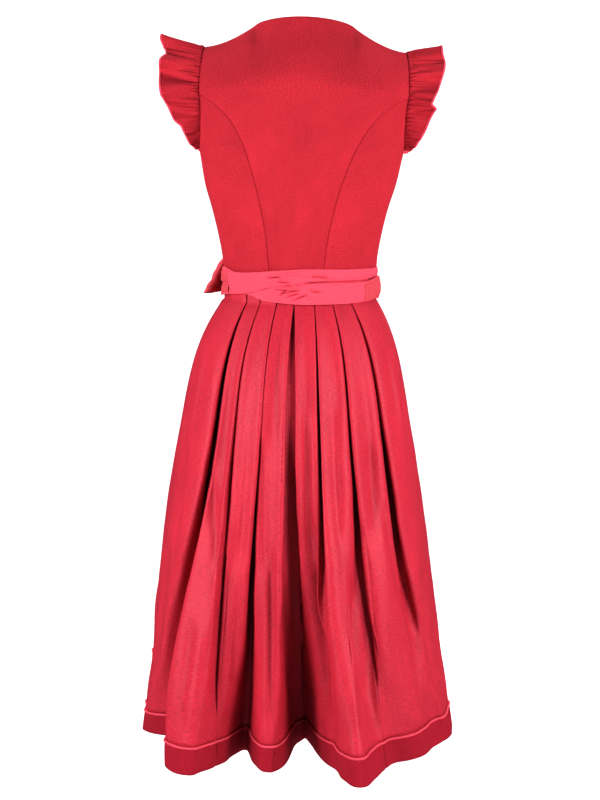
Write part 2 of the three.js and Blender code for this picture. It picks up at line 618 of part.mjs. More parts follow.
// One row per place along a tie. turn as above, going on past the front for the long end;
// z: middle of its width; width; off: how far its middle stands off the pleat edges.
const INNER = 2;
const OUTER = 3.8;
const TIE_RIGHT = [
  { turn: -119, z: -388, width: 31, off: INNER },
  { turn: -90, z: -376, width: 32, off: INNER },
  { turn: -60, z: -379.5, width: 31, off: INNER },
  { turn: -30, z: -381.5, width: 30, off: INNER },
  { turn: -8, z: -380.5, width: 28, off: INNER },
  { turn: 2, z: -377.5, width: 20, off: INNER + 0.2 },
  { turn: 17, z: -378.5, width: 19, off: OUTER - 0.2 },
  { turn: 28, z: -383, width: 26, off: OUTER },
  { turn: 45, z: -386, width: 31, off: OUTER },
  { turn: 64, z: -385.5, width: 33, off: OUTER },
  { turn: 85, z: -385, width: 36, off: OUTER },
  { turn: 118.5, z: -387, width: 28, off: OUTER },
];
const TIE_LEFT = [
  { turn: 119, z: -388, width: 31, off: INNER },
  { turn: 90, z: -377, width: 31, off: INNER },
  { turn: 75, z: -376, width: 31, off: INNER },
  { turn: 55, z: -384, width: 30, off: INNER },
  { turn: 37, z: -390, width: 30, off: INNER },
  { turn: 27, z: -398, width: 28, off: INNER },
  { turn: 17, z: -402.5, width: 25, off: INNER + 0.2 },
  { turn: 2, z: -404, width: 27, off: OUTER - 0.2 },
  { turn: -8, z: -402.5, width: 31, off: OUTER },
  { turn: -30, z: -401.5, width: 31, off: OUTER },
  { turn: -52, z: -398.5, width: 29, off: OUTER },
  { turn: -75, z: -391.5, width: 33, off: OUTER },
  { turn: -92, z: -391, width: 34, off: OUTER },
  { turn: -120, z: -389, width: 32, off: OUTER },
  { turn: -180, z: -388.5, width: 31, off: OUTER },
  { turn: -240.5, z: -387.5, width: 28, off: OUTER },
];
const BAND = [
  { turn: -119, z: -388, width: 31, off: INNER },
  { turn: -180, z: -388.5, width: 32, off: INNER },
  { turn: -241, z: -388, width: 31, off: INNER },
];
const JOIN_LEFT = 63;              // where each tie's back part ends and its long end begins
const JOIN_RIGHT = -53;

function strap(name, table, from, to, stepsAround, finish) {
  const rows = [...table].sort((a, b) => a.turn - b.turn);
  const at = (key, turn) => along(rows, 'turn', key, turn);
  const grid = steps(stepsAround, from, to).map((turn) => {
    const normal = ringPoint({ half: WAIST_RING.depth, depth: WAIST_RING.half }, turn, 0).normalize();
    return [0.5, 0, -0.5].map((share) => {
      const point = ringPoint(WAIST_RING, turn, at('off', turn));
      point.z = at('z', turn) + share * at('width', turn);
      return { point, normal };
    });
  });
  add(name, wall(trimmed(grid), CLOTH.tie), finish);
}

// ---- bow at the wearer's left front -------------------------------------------------------------
const KNOT_TURN = 119;
const KNOT_Z = -387;
const KNOT = { along: 13, out: 7, up: 14 };
const KNOT_OFF = OUTER + CLOTH.tie / 2 + 0.4 + KNOT.out;

function knotFrame() {
  const centre = ringPoint(WAIST_RING, KNOT_TURN, KNOT_OFF);
  centre.z = KNOT_Z;
  const toBack = ringPoint(WAIST_RING, KNOT_TURN - 1, KNOT_OFF)
    .sub(ringPoint(WAIST_RING, KNOT_TURN, KNOT_OFF))
    .normalize();
  const out = toBack.clone().cross(vec(0, 0, 1)).normalize();
  return { centre, toBack, out: out.dot(centre) < 0 ? out.negate() : out };
}

function knot() {
  const ball = new THREE.SphereGeometry(1, 12, 8);
  ball.deleteAttribute('normal');
  ball.deleteAttribute('uv');
  const { centre, toBack, out } = knotFrame();
  const place = new THREE.Matrix4()
    .makeBasis(toBack.multiplyScalar(KNOT.along), vec(0, 0, KNOT.up), out.multiplyScalar(KNOT.out))
    .setPosition(centre);
  const joined = mergeVertices(ball).applyMatrix4(place);
  add('bow_knot', closed([...joined.getAttribute('position').array], [...joined.getIndex().array]),
    CRIMSON);
}

// A loop of the tie: out from the knot, round its tip and back. The tip leans out at its foot.
// reach: along the waist; stand: out from it; each row is a place along the loop's middle line.
const LOOP = [
  { reach: 13.4, stand: 2, rise: 0, width: 20, tilt: 0 },
  { reach: 31, stand: 9, rise: 6, width: 38, tilt: 7 },
  { reach: 47, stand: 8, rise: 12, width: 50, tilt: 14 },
  { reach: 54, stand: 2, rise: 14, width: 52, tilt: 16 },
  { reach: 47, stand: -3, rise: 13, width: 46, tilt: 12 },
  { reach: 31, stand: -3.5, rise: 7, width: 36, tilt: 5 },
  { reach: 13.4, stand: -3, rise: 0, width: 18, tilt: 0 },
];

function loopGrid(direction) {
  const { centre, toBack, out } = knotFrame();
  const rows = LOOP.map((row, i) => ({ ...row, at: i }));
  return steps(18, 0, LOOP.length - 1).map((at) => {
    const value = (key) => along(rows, 'at', key, at);
    const reach = value('reach') * direction;
    // the waist curves away under the loop, so the loop bends with it
    const sink = (reach * reach) / 260;
    const middle = centre.clone().addScaledVector(toBack, reach)
      .addScaledVector(out, value('stand') + 4 - sink).add(vec(0, 0, value('rise')));
    return [0.5, 0, -0.5].map((share) => middle.clone()
      .add(vec(0, 0, share * value('width')))
      .addScaledVector(out, -share * value('tilt')));
  });
}

// The bow's tails hang one over the other on the apron, from the knot to its nearest crest.
const TAILS = {
  bow_tail_lower: { length: 430, width: 46, off: 7, shift: 10 },
  bow_tail_upper: { length: 385, width: 46, off: 9.2, shift: -12 },
};
const TAIL_CREST = 136;

function tailGrid({ length, width, off, shift }) {
  return steps(9).map((share) => {
    const section = apronSection(() => (4 + share * length) / (BELT_EDGE_Z - HEM_Z));
    const onLine = (turn) => {
      const cells = section.filter((_, i) => APRON_LINES[i].fold.turn === turn);
      const sum = (key) => cells[0][key].clone().add(cells[1][key]);
      return { point: sum('point').multiplyScalar(0.5), normal: sum('normal').setZ(0).normalize() };
    };
    const from = onLine(APRON_TURN);
    const to = onLine(TAIL_CREST);
    const move = smooth(0, 0.5, share);
    const normal = from.normal.lerp(to.normal, move).normalize();
    const across = vec(normal.y, -normal.x, 0);
    const middle = from.point.lerp(to.point, move).addScaledVector(normal, off)
      .addScaledVector(across, shift * smooth(0, 0.6, share));
    const half = lerp(12, width / 2, smooth(0, 0.4, share));
    return [-1, 0, 1].map((s) => ({ point: middle.clone().addScaledVector(across, s * half), normal }));
  });
}

function bow() {
  knot();
  add('bow_loop_back', wall(withNormals(loopGrid(1)), CLOTH.bow), CRIMSON);
  add('bow_loop_front', wall(withNormals(loopGrid(-1)), CLOTH.bow), CRIMSON);
  Object.entries(TAILS).forEach(([name, tail]) => add(name, wall(tailGrid(tail), CLOTH.bow), CRIMSON));
}

// ---- the dress, in sewing order --------------------------------------------------------------------
centreBack();
sidePanel(1, 1, 'bodice_side_back_left');
sidePanel(1, -1, 'bodice_side_back_right');
sidePanel(-1, 1, 'bodice_side_front_left');
sidePanel(-1, -1, 'bodice_side_front_right');
centreFront(1, 'bodice_front_left');
centreFront(-1, 'bodice_front_right');
frill('left');
frill('right');
skirt();
apronPanel();
strap('apron_waistband', BAND, -119, -241, 20, CORAL);
strap('tie_right_back', TIE_RIGHT, -119, JOIN_LEFT, 34, CORAL);
strap('tie_right_end', TIE_RIGHT, JOIN_LEFT, 118.8, 10, CRIMSON);
strap('tie_left_back', TIE_LEFT, 119, JOIN_RIGHT, 34, CORAL);
strap('tie_left_end', TIE_LEFT, JOIN_RIGHT, -240.8, 28, CRIMSON);
bow();

export default dress;
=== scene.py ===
# A red midi dirndl in worn form: princess-seamed bodice with wing frills, a pleated skirt with a
# piped hem band, and an apron whose satin ties cross at the back and end in a bow. Sizes are in
# millimetres in the tables and turned into metres where a mesh is made. +X is the wearer's left,
# -Y the front and +Z up; the origin lies between the two neck points.
from collections import namedtuple

import bpy
import numpy as np
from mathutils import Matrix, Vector


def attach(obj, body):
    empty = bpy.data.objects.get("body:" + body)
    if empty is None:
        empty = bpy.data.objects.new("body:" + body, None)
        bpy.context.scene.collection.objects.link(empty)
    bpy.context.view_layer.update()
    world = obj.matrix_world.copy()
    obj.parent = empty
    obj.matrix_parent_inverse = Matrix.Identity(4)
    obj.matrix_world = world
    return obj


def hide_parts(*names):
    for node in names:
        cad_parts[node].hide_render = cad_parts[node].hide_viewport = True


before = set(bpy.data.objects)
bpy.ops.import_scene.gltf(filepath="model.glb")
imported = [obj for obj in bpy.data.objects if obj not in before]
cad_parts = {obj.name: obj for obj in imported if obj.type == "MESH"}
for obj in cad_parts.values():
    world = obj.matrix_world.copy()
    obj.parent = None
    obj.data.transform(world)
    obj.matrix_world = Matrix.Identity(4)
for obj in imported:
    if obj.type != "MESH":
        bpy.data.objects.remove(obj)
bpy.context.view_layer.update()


# ---- the studio ----
# A pale floor some way under the hem sweeps up into a backdrop that has a light of its own. On
# either side of the camera a soft light stands nearer to the dress's back, at waist height, and
# another further out; one more is before its front. The room is white, but adds little light.
FLOOR_Z = -1.46
FLOOR_HALF = 2.5
FLOOR_ENDS = (1.8, -3.4)  # from behind the camera to where it turns up
SWEEP_RADIUS = 2.2
BACKDROP_TOP = 6
bend = np.radians(np.linspace(0, 90, 17))
sweep_y = FLOOR_ENDS[1] - SWEEP_RADIUS * np.sin(bend)
sweep_y = np.concatenate([FLOOR_ENDS[:1], sweep_y, sweep_y[-1:]])
sweep_z = FLOOR_Z + SWEEP_RADIUS * (1 - np.cos(bend))
sweep_z = np.concatenate([[FLOOR_Z], sweep_z, [BACKDROP_TOP]])
sweep = bpy.data.meshes.new("floor")
sweep.from_pydata([(x, y, z) for y, z in zip(sweep_y, sweep_z) for x in (-FLOOR_HALF, FLOOR_HALF)],
                  [], [(i, i + 1, i + 3, i + 2) for i in range(0, 2 * len(sweep_y) - 2, 2)])
sweep.polygons.foreach_set("use_smooth", [True] * len(sweep.polygons))
floor = bpy.data.objects.new("floor", sweep)
bpy.context.scene.collection.objects.link(floor)
floor_paint = bpy.data.materials.new("floor_paint")
floor_paint.use_nodes = True
paint = floor_paint.node_tree.nodes["Principled BSDF"].inputs
paint["Base Color"].default_value = (0.55, 0.55, 0.55, 1)
paint["Roughness"].default_value = 1
paint["Specular IOR Level"].default_value = 0
sweep.materials.append(floor_paint)
floor.visible_glossy = False  # or it would be mirrored along the edges of the skirt

room = bpy.data.worlds.new("room")
room.use_nodes = True
nodes, link = room.node_tree.nodes, room.node_tree.links.new
nodes["Background"].inputs["Color"].default_value = (1, 0.99, 0.98, 1)
seen = nodes.new("ShaderNodeLightPath")
strength = nodes.new("ShaderNodeMapRange")
strength.inputs["To Min"].default_value = 0.06  # as a light
strength.inputs["To Max"].default_value = 1.1  # as the camera sees it
link(seen.outputs["Is Camera Ray"], strength.inputs["Value"])
link(strength.outputs["Result"], nodes["Background"].inputs["Strength"])
bpy.context.scene.world = room
look = bpy.context.scene.view_settings
look.view_transform = "Standard"
look.gamma = 0.7
look.exposure = 0.02


def soft_light(name, place, towards, width, height, power):
    lamp = bpy.data.lights.new(name, "AREA")
    lamp.shape = "RECTANGLE"
    lamp.size = width
    lamp.size_y = height
    lamp.energy = power
    light = bpy.data.objects.new(name, lamp)
    light.location = place
    light.rotation_mode = "QUATERNION"
    light.rotation_quaternion = (Vector(towards) - Vector(place)).to_track_quat("-Z", "Y")
    bpy.context.scene.collection.objects.link(light)
    return light


for name, side in (("left", 1), ("right", -1)):
    soft_light(name + "_near_light", (1.3 * side, 1.35, -0.3), (0, 0, -0.45), 0.6, 0.8, 32)
    soft_light(name + "_far_light", (2.7 * side, 0.9, 0.3), (0, 0, -0.3), 0.8, 1.2, 43)
front_light = soft_light("front_light", (-1.1, -2.7, 0.2), (0, 0, -0.55), 1.1, 1.3, 38)
front_light.visible_glossy = False  # or it would rim the skirt's edges
soft_light("backdrop_light", (0, -2.0, 3.4), (0, -4.9, -0.6), 6, 1.5, 560)

lens = bpy.data.cameras.new("camera")
lens.sensor_width = 36
lens.lens = 61.4
lens.shift_y = -0.125
lens.clip_end = 60
camera = bpy.data.objects.new("camera", lens)
camera.location = (0, 2.06, -0.4107)
camera.rotation_euler = (np.radians(90), 0, np.radians(180))
bpy.context.scene.collection.objects.link(camera)
bpy.context.scene.camera = camera


# ---- centre back panel ----
# One piece of firm matte crepe from the waist to the shoulder seams, with the back neckline cut
# in it. It lies on the figure; its side edges are the two princess seams that show at the back.
MM = 0.001  # in metres
WAIST_Z = -388
BLADE_Z = -110  # where the princess seams run into the armholes
UNDERARM_Z = -187
NECK_HALF = 73
SHOULDER_HALF = 151
SHOULDER_DROP = 33
BODICE_CLOTH = 1.5
TORSO = {  # the figure: side distance, depth behind and before the axis
    "z": [-388, -366, -345, -308, -272, -236, -199, -150, -110],
    "half": [108, 114, 116, 123, 132, 143, 150.5, 160, 167],
    "back": [84, 89.5, 92.5, 99, 106, 111, 113, 110, 106],
    "front": [84, 91, 95, 106, 119, 125, 119, 102, 86],
    "power": [2.0, 2.0, 2.0, 2.05, 2.1, 2.15, 2.2, 2.2, 2.2],
}
PRINCESS = {1: (39, 154), -1: (42, 137)}  # the seams' places at waist and blades, by face
SEAM_DRIFT = 6  # at the waist the back seams lie over to the left
LEAN = 8  # the neck stands over to the right
ROLL = 0.03  # and the left shoulder stands higher


def mix(a, b, t):
    return a + (b - a) * t


def ease(low, high, value):
    t = np.clip((value - low) / (high - low), 0, 1)
    return t * t * (3 - 2 * t)


def french_curve(start, end, leave, arrive, t):
    """A smooth way from start to end that leaves and arrives in given directions."""
    s = t - 1
    return ((1 + 2 * t) * s * s * start + t * t * (3 - 2 * t) * end
            + t * s * s * leave + t * t * s * arrive)


def along(table, place, column, at):
    """Value of a table's column at `at`, on a smooth curve through its rows, without overshoot."""
    x = np.array(table[place], float)
    y = np.array(table[column], float)
    at = np.clip(np.asarray(at, float), x[0], x[-1])
    slope = np.diff(y) / np.diff(x)
    before, after = slope[:-1], slope[1:]
    total = before + after
    inner = np.where(before * after > 0, 2 * before * after / np.where(total == 0, 1, total), 0)
    tangent = np.concatenate([slope[:1], inner, slope[-1:]])
    i = np.clip(np.searchsorted(x, at, side="right") - 1, 0, len(x) - 2)
    width = x[i + 1] - x[i]
    return french_curve(y[i], y[i + 1], tangent[i] * width, tangent[i + 1] * width,
                        (at - x[i]) / width)


def turn_at(x, z):
    half = along(TORSO, "z", "half", z)
    return np.arccos(np.clip(np.abs(x) / half, 0, 1) ** (along(TORSO, "z", "power", z) / 2))


def on_torso(face, turn, z):
    half = along(TORSO, "z", "half", z)
    depth = along(TORSO, "z", "back" if face > 0 else "front", z)
    power = 2 / along(TORSO, "z", "power", z)
    x = half * np.clip(np.cos(turn), 0, 1) ** power
    y = face * depth * np.clip(np.sin(turn), 0, 1) ** power
    return np.stack(np.broadcast_arrays(x, y, z), -1)


def leaning(points):
    points = np.array(points, float)
    amount = ease(-300, 0, points[..., 2])
    points[..., 2] += ROLL * points[..., 0] * amount
    points[..., 0] -= LEAN * amount
    return points


def yoke_top(face, x):
    """Shoulder line or neck edge at a distance from the centre, and how the cloth arrives there."""
    across = np.abs(x)
    out = np.clip((across - NECK_HALF) / (SHOULDER_HALF - NECK_HALF), 0, 1)
    arch = np.clip(1 - (across / NECK_HALF) ** 2, 0, 1) ** 0.7
    shoulder_z = -SHOULDER_DROP * (1 - (1 - out) ** 1.65)
    y = 10 - 13 * out + (46 if face > 0 else -58) * arch
    z = shoulder_z + (5.5 if face > 0 else -45) * arch
    flat = ease(NECK_HALF - 14, NECK_HALF + 14, across)
    return y, z, mix(0.35, 1, flat), mix(1, 0.12, flat)


def torso_y(face, x, z):
    return on_torso(face, turn_at(x, z), z)[..., 1]


def on_bodice(face, x, level):
    """Level 0 is the waist, 1 the shoulder blades and 2 the shoulder line or neck."""
    x, level = np.broadcast_arrays(x, level)
    low_z = mix(WAIST_Z, BLADE_Z, np.minimum(level, 1))
    low_y = torso_y(face, x, low_z)
    under_z = mix(WAIST_Z, BLADE_Z, 0.98)
    blade_y = torso_y(face, x, BLADE_Z)
    slope = (blade_y - torso_y(face, x, under_z)) / (BLADE_Z - under_z)
    top_y, top_z, forward, rise = yoke_top(face, x)
    run = top_z - BLADE_Z
    t = np.clip(level - 1, 0, 1)
    y = french_curve(blade_y, top_y, 0.5 * slope * run, -face * forward * run * 0.8, t)
    z = french_curve(BLADE_Z, top_z, run, rise * run * 0.8, t)
    above = level > 1
    return np.stack([x, np.where(above, y, low_y), np.where(above, z, low_z)], -1)


def seam_x(face, side, level):
    """How far across a princess seam lies, behind (1) or in front (-1)."""
    waist, blade = PRINCESS[face]
    low = np.clip(level, 0, 1)
    half = mix(waist, blade, 0.66 * low ** 1.8 + 0.34 * low ** 9)
    t = np.clip(np.asarray(level, float) - 1, 0, 1)
    yoke = mix(blade, SHOULDER_HALF, t) + t * (1 - t) * (8 if face > 0 else -26 * (1 - t))
    drift = SEAM_DRIFT * (1 - level) if face > 0 else 0
    return np.where(level > 1, side * yoke, side * half + drift)


def unit(vectors):
    return vectors / np.maximum(np.linalg.norm(vectors, axis=-1, keepdims=True), 1e-9)


def outward(grid, inside=(0, 0)):
    """Unit normals of a grid of points, on the side away from an upright line."""
    normal = unit(np.cross(np.gradient(grid, axis=0), np.gradient(grid, axis=1)))
    away = (normal[..., :2] * (grid[..., :2] - inside)).sum()
    return normal if away > 0 else -normal


def steps(points, axis=0):
    return np.linalg.norm(np.diff(points, axis=axis), axis=-1)


def running(lengths):
    """Their running total, from 0 on."""
    return np.concatenate([[0], np.cumsum(lengths)])


def measured(grid):
    """Distance along the cloth from its first row and column, for the weave to follow."""
    u, v = running(steps(grid, 1).mean(0)), running(steps(grid).mean(1))
    return np.stack(np.meshgrid(u, v), -1)


def sewn_piece(name, points, faces, spread, finishes):
    """A mesh of points in mm; spread: where each of them lies on the flat cloth, in mm."""
    mesh = bpy.data.meshes.new(name)
    mesh.from_pydata((points * MM).tolist(), [], faces)
    corners = np.concatenate(faces)
    mesh.uv_layers.new(name="cloth").data.foreach_set("uv", (spread * MM)[corners].ravel())
    mesh.polygons.foreach_set("use_smooth", [True] * len(faces))
    for finish in finishes:
        mesh.materials.append(finish)
    piece = bpy.data.objects.new(name, mesh)
    bpy.context.scene.collection.objects.link(piece)
    return piece


def cloth_sheet(name, grid, thickness, finishes, marks=None):
    """A sheet of cloth on a grid of points, with a real thickness; marks: each face's finish."""
    at = np.arange(grid.shape[0] * grid.shape[1]).reshape(grid.shape[:2])
    quads = np.stack([at[:-1, :-1], at[:-1, 1:], at[1:, 1:], at[1:, :-1]], -1).reshape(-1, 4)
    piece = sewn_piece(name, grid.reshape(-1, 3), quads.tolist(), measured(grid).reshape(-1, 2),
                       finishes)
    if marks is not None:
        piece.data.polygons.foreach_set("material_index", marks.ravel().tolist())
    thick = piece.modifiers.new("thickness", "SOLIDIFY")
    thick.thickness = thickness * MM
    thick.offset = 0
    thick.use_even_offset = False
    return piece


def rolled_seams(grid, depth=1.7, width=0.9):
    """The cloth turns in where it is sewn: edge columns sink towards the seam."""
    start = np.concatenate([np.zeros((len(grid), 1)), np.cumsum(steps(grid, 1), 1)], 1)
    sink = np.exp(-(start / width) ** 2) + np.exp(-((start[:, -1:] - start) / width) ** 2)
    return grid - outward(grid) * (depth * sink)[..., None]


def seam_columns(middle, fine):
    """Shares across a panel, close together at both edges."""
    edge = np.array([0, 0.3, 0.7, 1.2, 2, 3.4, 5.5]) * fine
    return np.concatenate([edge, np.linspace(9 * fine, 1 - 9 * fine, middle), 1 - edge[::-1]])


def finish_node(material, kind, inputs, **settings):
    """A new node; an input is a value or the output that is linked to it."""
    node = material.node_tree.nodes.new(kind)
    for key, value in settings.items():
        setattr(node, key, value)
    for key, value in inputs.items():
        if isinstance(value, bpy.types.NodeSocket):
            material.node_tree.links.new(value, node.inputs[key])
        else:
            node.inputs[key].default_value = value
    return node


BAND_SCALE = 314  # gives a wave texture bands 1 mm apart
BLOTCH = (90, 130)


def woven(name, colour, pitch, slub, rough, shade, relief, shine=0.12):
    """A woven cloth. pitch: mm between threads across and along; slub: mm a thick place in a thread
    is long and wide; rough: how much it scatters its shine; shade: how much darker the thin places
    are; relief: how far the threads stand out; shine: crepe and matte satin 0.12, satin 0.24."""
    cloth = bpy.data.materials.new(name)
    cloth.use_nodes = True
    spread = finish_node(cloth, "ShaderNodeUVMap", {}, uv_map="cloth").outputs["UV"]
    threads = [finish_node(cloth, "ShaderNodeTexWave", {
        "Vector": spread, "Scale": BAND_SCALE / size, "Distortion": 1.6,
        "Detail": 1, "Detail Scale": 1.5,
    }, bands_direction=way).outputs["Fac"] for way, size in zip("XY", pitch)]
    crossing = finish_node(cloth, "ShaderNodeMath", dict(enumerate(threads)), operation="MULTIPLY")
    noises = []
    for (long, wide), detail in ((slub, 2), (BLOTCH, 3)):
        stretch = finish_node(cloth, "ShaderNodeMapping", {
            "Vector": spread, "Scale": (1000 / long, 1000 / wide, 1)})
        noises.append(finish_node(cloth, "ShaderNodeTexNoise", {
            "Vector": stretch.outputs["Vector"], "Scale": 1, "Detail": detail, "Roughness": 0.7,
        }).outputs["Fac"])
    height = finish_node(cloth, "ShaderNodeMath", {0: crossing.outputs[0], 1: 0.3, 2: noises[0]},
                         operation="MULTIPLY_ADD").outputs[0]
    total = finish_node(cloth, "ShaderNodeMath", {0: noises[1], 1: 0.35, 2: height},
                        operation="MULTIPLY_ADD").outputs[0]
    dark = finish_node(cloth, "ShaderNodeMapRange", {
        "Value": total, "From Min": 0.48, "From Max": 1.02, "To Min": 1 - shade, "To Max": 1})
    dye = finish_node(cloth, "ShaderNodeMix", {
        "Factor": 1, "A": (*colour, 1), "B": dark.outputs["Result"],
    }, data_type="RGBA", blend_type="MULTIPLY")
    bump = finish_node(cloth, "ShaderNodeBump", {
        "Strength": relief, "Distance": 0.0006, "Height": height})
    shader = cloth.node_tree.nodes["Principled BSDF"].inputs
    shader["Roughness"].default_value = rough
    shader["Specular IOR Level"].default_value = shine
    shader["IOR"].default_value = 1.45 if shine > 0.2 else 1.25  # matte cloth's edges stay dark
    cloth.node_tree.links.new(dye.outputs["Result"], shader["Base Color"])
    cloth.node_tree.links.new(bump.outputs["Normal"], shader["Normal"])
    return cloth


crepe = woven("red_crepe", (0.625, 0.060, 0.089), (1.1, 0.9), (1.9, 1.6), 0.85, 0.5, 0.7)

levels = np.concatenate([np.linspace(0, 1, 60), np.linspace(1, 2, 34)[1:]])[:, None]
shares = seam_columns(70, 0.0035)
across = mix(seam_x(1, -1, levels), seam_x(1, 1, levels), shares)
panel = rolled_seams(leaning(on_bodice(1, across, levels)))
piece = cloth_sheet("centre_back_panel", panel, BODICE_CLOTH, [crepe])
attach(piece, "root")
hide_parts("bodice_back")


# ---- side panels ----
# Two side back and two side front panels of the same crepe, each between a princess seam and the
# side seam, cut away at the top for the armhole.
def armhole_turn(face, z):
    top = turn_at(PRINCESS[face][1], BLADE_Z)
    t = np.clip((z - BLADE_Z) / (UNDERARM_Z - BLADE_Z), 0, 1)
    return np.where(z > UNDERARM_Z, top * np.sqrt(1 - t * t), 0)


arm_rows = mix(UNDERARM_Z, BLADE_Z - 1.2, 1 - np.cos(np.linspace(0, np.pi / 2, 24)))
z = np.concatenate([np.linspace(WAIST_Z, UNDERARM_Z, 48), arm_rows[1:]])[:, None]
level = (z - WAIST_Z) / (BLADE_Z - WAIST_Z)
for face, side, name in ((1, 1, "side_back_left"), (1, -1, "side_back_right"),
                         (-1, 1, "side_front_left"), (-1, -1, "side_front_right")):
    seam_turn = turn_at(seam_x(face, side, level), z)
    turn = mix(armhole_turn(face, z), seam_turn, seam_columns(34, 0.005))
    panel = on_torso(face, turn, z)
    panel[..., 0] *= side
    panel = rolled_seams(leaning(panel))
    piece = cloth_sheet(name + "_panel", panel, BODICE_CLOTH, [crepe])
    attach(piece, "root")
    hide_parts("bodice_" + name)


# ---- centre front panels ----
# Left and right fronts of crepe, edge to edge over a concealed closing, with a V neckline between
# the neck points.
NECKLINE_FRONT_Z = -165
BELOW_NECKLINE = 0.65  # a level under its point, from where on the rows close up towards it
for side, name in ((1, "left"), (-1, "right")):
    shares = seam_columns(44, 0.006)
    trial = np.linspace(0.5, 2, 3000)[:, None]
    x = shares * seam_x(-1, side, trial)
    edge_z = NECKLINE_FRONT_Z * (1 - np.clip(np.abs(x) / NECK_HALF, 0, 1) ** 1.5)
    above = (np.abs(x) < NECK_HALF) & (on_bodice(-1, x, trial)[..., 2] > edge_z)
    above &= shares < NECK_HALF / SHOULDER_HALF
    tops = np.where(above.any(0), trial[above.argmax(0), 0], 2)
    low = np.linspace(0, BELOW_NECKLINE, 40)[:, None] * np.ones(len(shares))
    level = np.concatenate([low, mix(BELOW_NECKLINE, tops, np.linspace(0, 1, 56)[1:, None])])
    front = rolled_seams(leaning(on_bodice(-1, shares * seam_x(-1, side, level), level)))
    piece = cloth_sheet("front_" + name + "_panel", front, BODICE_CLOTH, [crepe])
    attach(piece, "root")
    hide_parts("bodice_front_" + name)


# ---- frills ----
# A gathered wing of crepe sewn into each armhole, widest at the shoulder tip and running out to
# nothing at the underarm. It stands away from the arm in uneven waves.
def curve_through(points, counts, closed=False):
    """A smooth, even curve: counts[i] places on it from each point on to the next."""
    after = np.roll(points, -1, axis=0)
    step = np.maximum(np.linalg.norm(after - points, axis=-1, keepdims=True), 1e-6) ** 0.5
    rise = (after - points) / step
    rise_before = np.roll(rise, 1, axis=0)
    chord = (after - np.roll(points, 1, axis=0)) / (step + np.roll(step, 1, axis=0))
    slope = rise_before - chord + rise
    if not closed:
        slope[0], slope[-1] = rise[0], rise_before[-1]
    parts = []
    for i, count in enumerate(counts):
        j = (i + 1) % len(points)
        t = (np.arange(count) / count)[:, None]
        parts.append(french_curve(points[i], points[j], slope[i] * step[i], slope[j] * step[i], t))
    return np.concatenate(parts if closed else parts + [points[-1:]])


def evenly(line, shares):
    """Places and directions along a line, at shares of its length."""
    run = running(steps(line))
    place, way = (np.stack([np.interp(shares * run[-1], run, column) for column in points.T], -1)
                  for points in (line, np.gradient(line, run, axis=0)))
    return place, unit(way)


def armhole(side):
    z = np.linspace(UNDERARM_Z + 1, BLADE_Z, 11)
    high = np.linspace(1.02, 1.98, 11)
    behind, before = (np.concatenate([on_torso(face, armhole_turn(face, z), z),
                                      on_bodice(face, seam_x(face, 1, high), high)])
                      for face in (1, -1))
    points = np.concatenate([behind, before[::-1]])
    points[:, 0] *= side
    return curve_through(leaning(points), [8] * (len(points) - 1))


def wander(seed, swings, at):
    """A smooth random line between -1 and 1, at shares from 0 to 1."""
    values = np.random.default_rng(seed).uniform(-1, 1, swings)
    return along({"at": np.linspace(0, 1, swings), "value": values}, "at", "value", at)


def rolled_edge(name, line, radius, finish):
    """A round rolled edge along a line of points in mm."""
    sides = 8
    way = unit(np.gradient(line, axis=0))
    first = unit(np.cross(way, (0.1, 0.2, 1)))
    second = np.cross(way, first)
    angle = np.linspace(0, 2 * np.pi, sides, endpoint=False)[:, None]
    ring = (first[:, None] * np.cos(angle) + second[:, None] * np.sin(angle)) * radius
    at = np.arange(len(line) * sides).reshape(len(line), sides)
    turned = np.roll(at, -1, axis=1)
    quads = np.stack([at[:-1], turned[:-1], turned[1:], at[1:]], -1).reshape(-1, 4).tolist()
    ends = [at[0][::-1].tolist(), at[-1].tolist()]
    spread = np.stack([np.repeat(running(steps(line)), sides),
                       np.tile(np.arange(sides) * radius, len(line))], 1)
    return sewn_piece(name, (line[:, None] + ring).reshape(-1, 3), quads + ends, spread, [finish])


coral = woven("coral_satin", (0.74, 0.124, 0.180), (0.9, 0.8), (6, 1.6), 0.6, 0.22, 0.3)

FRILLS = {"left": (1, 60, 0.23, 3), "right": (-1, 56, 0.09, 8)}  # side, reach, lift, seed
FRILL_CLOTH = 1.3
FRILL_EDGE = 3  # what its rolled edge takes up
FRILL_EDGE_RADIUS = 1.6
FRILL_WAVE = 11  # how far the edge swings to and fro
FRILL_FOLD = 2.2
GATHER_DEPTH = 3.2
FRILL_REACH = {  # how far they reach, by share of the way up the armhole
    "left": {"up": [0, 0.03, 0.07, 0.15, 0.26, 0.3, 0.42, 0.56, 0.69, 0.76, 0.84, 0.91, 1],
             "reach": [2, 6, 11, 21, 30, 41, 53, 60, 62, 54, 60, 67, 62]},
    "right": {"up": [0, 0.04, 0.08, 0.18, 0.3, 0.36, 0.42, 0.46, 0.54, 0.68, 0.8, 0.88, 1],
              "reach": [2, 9, 16, 26, 35, 41, 44, 37, 44, 52, 56, 54, 56]},
}
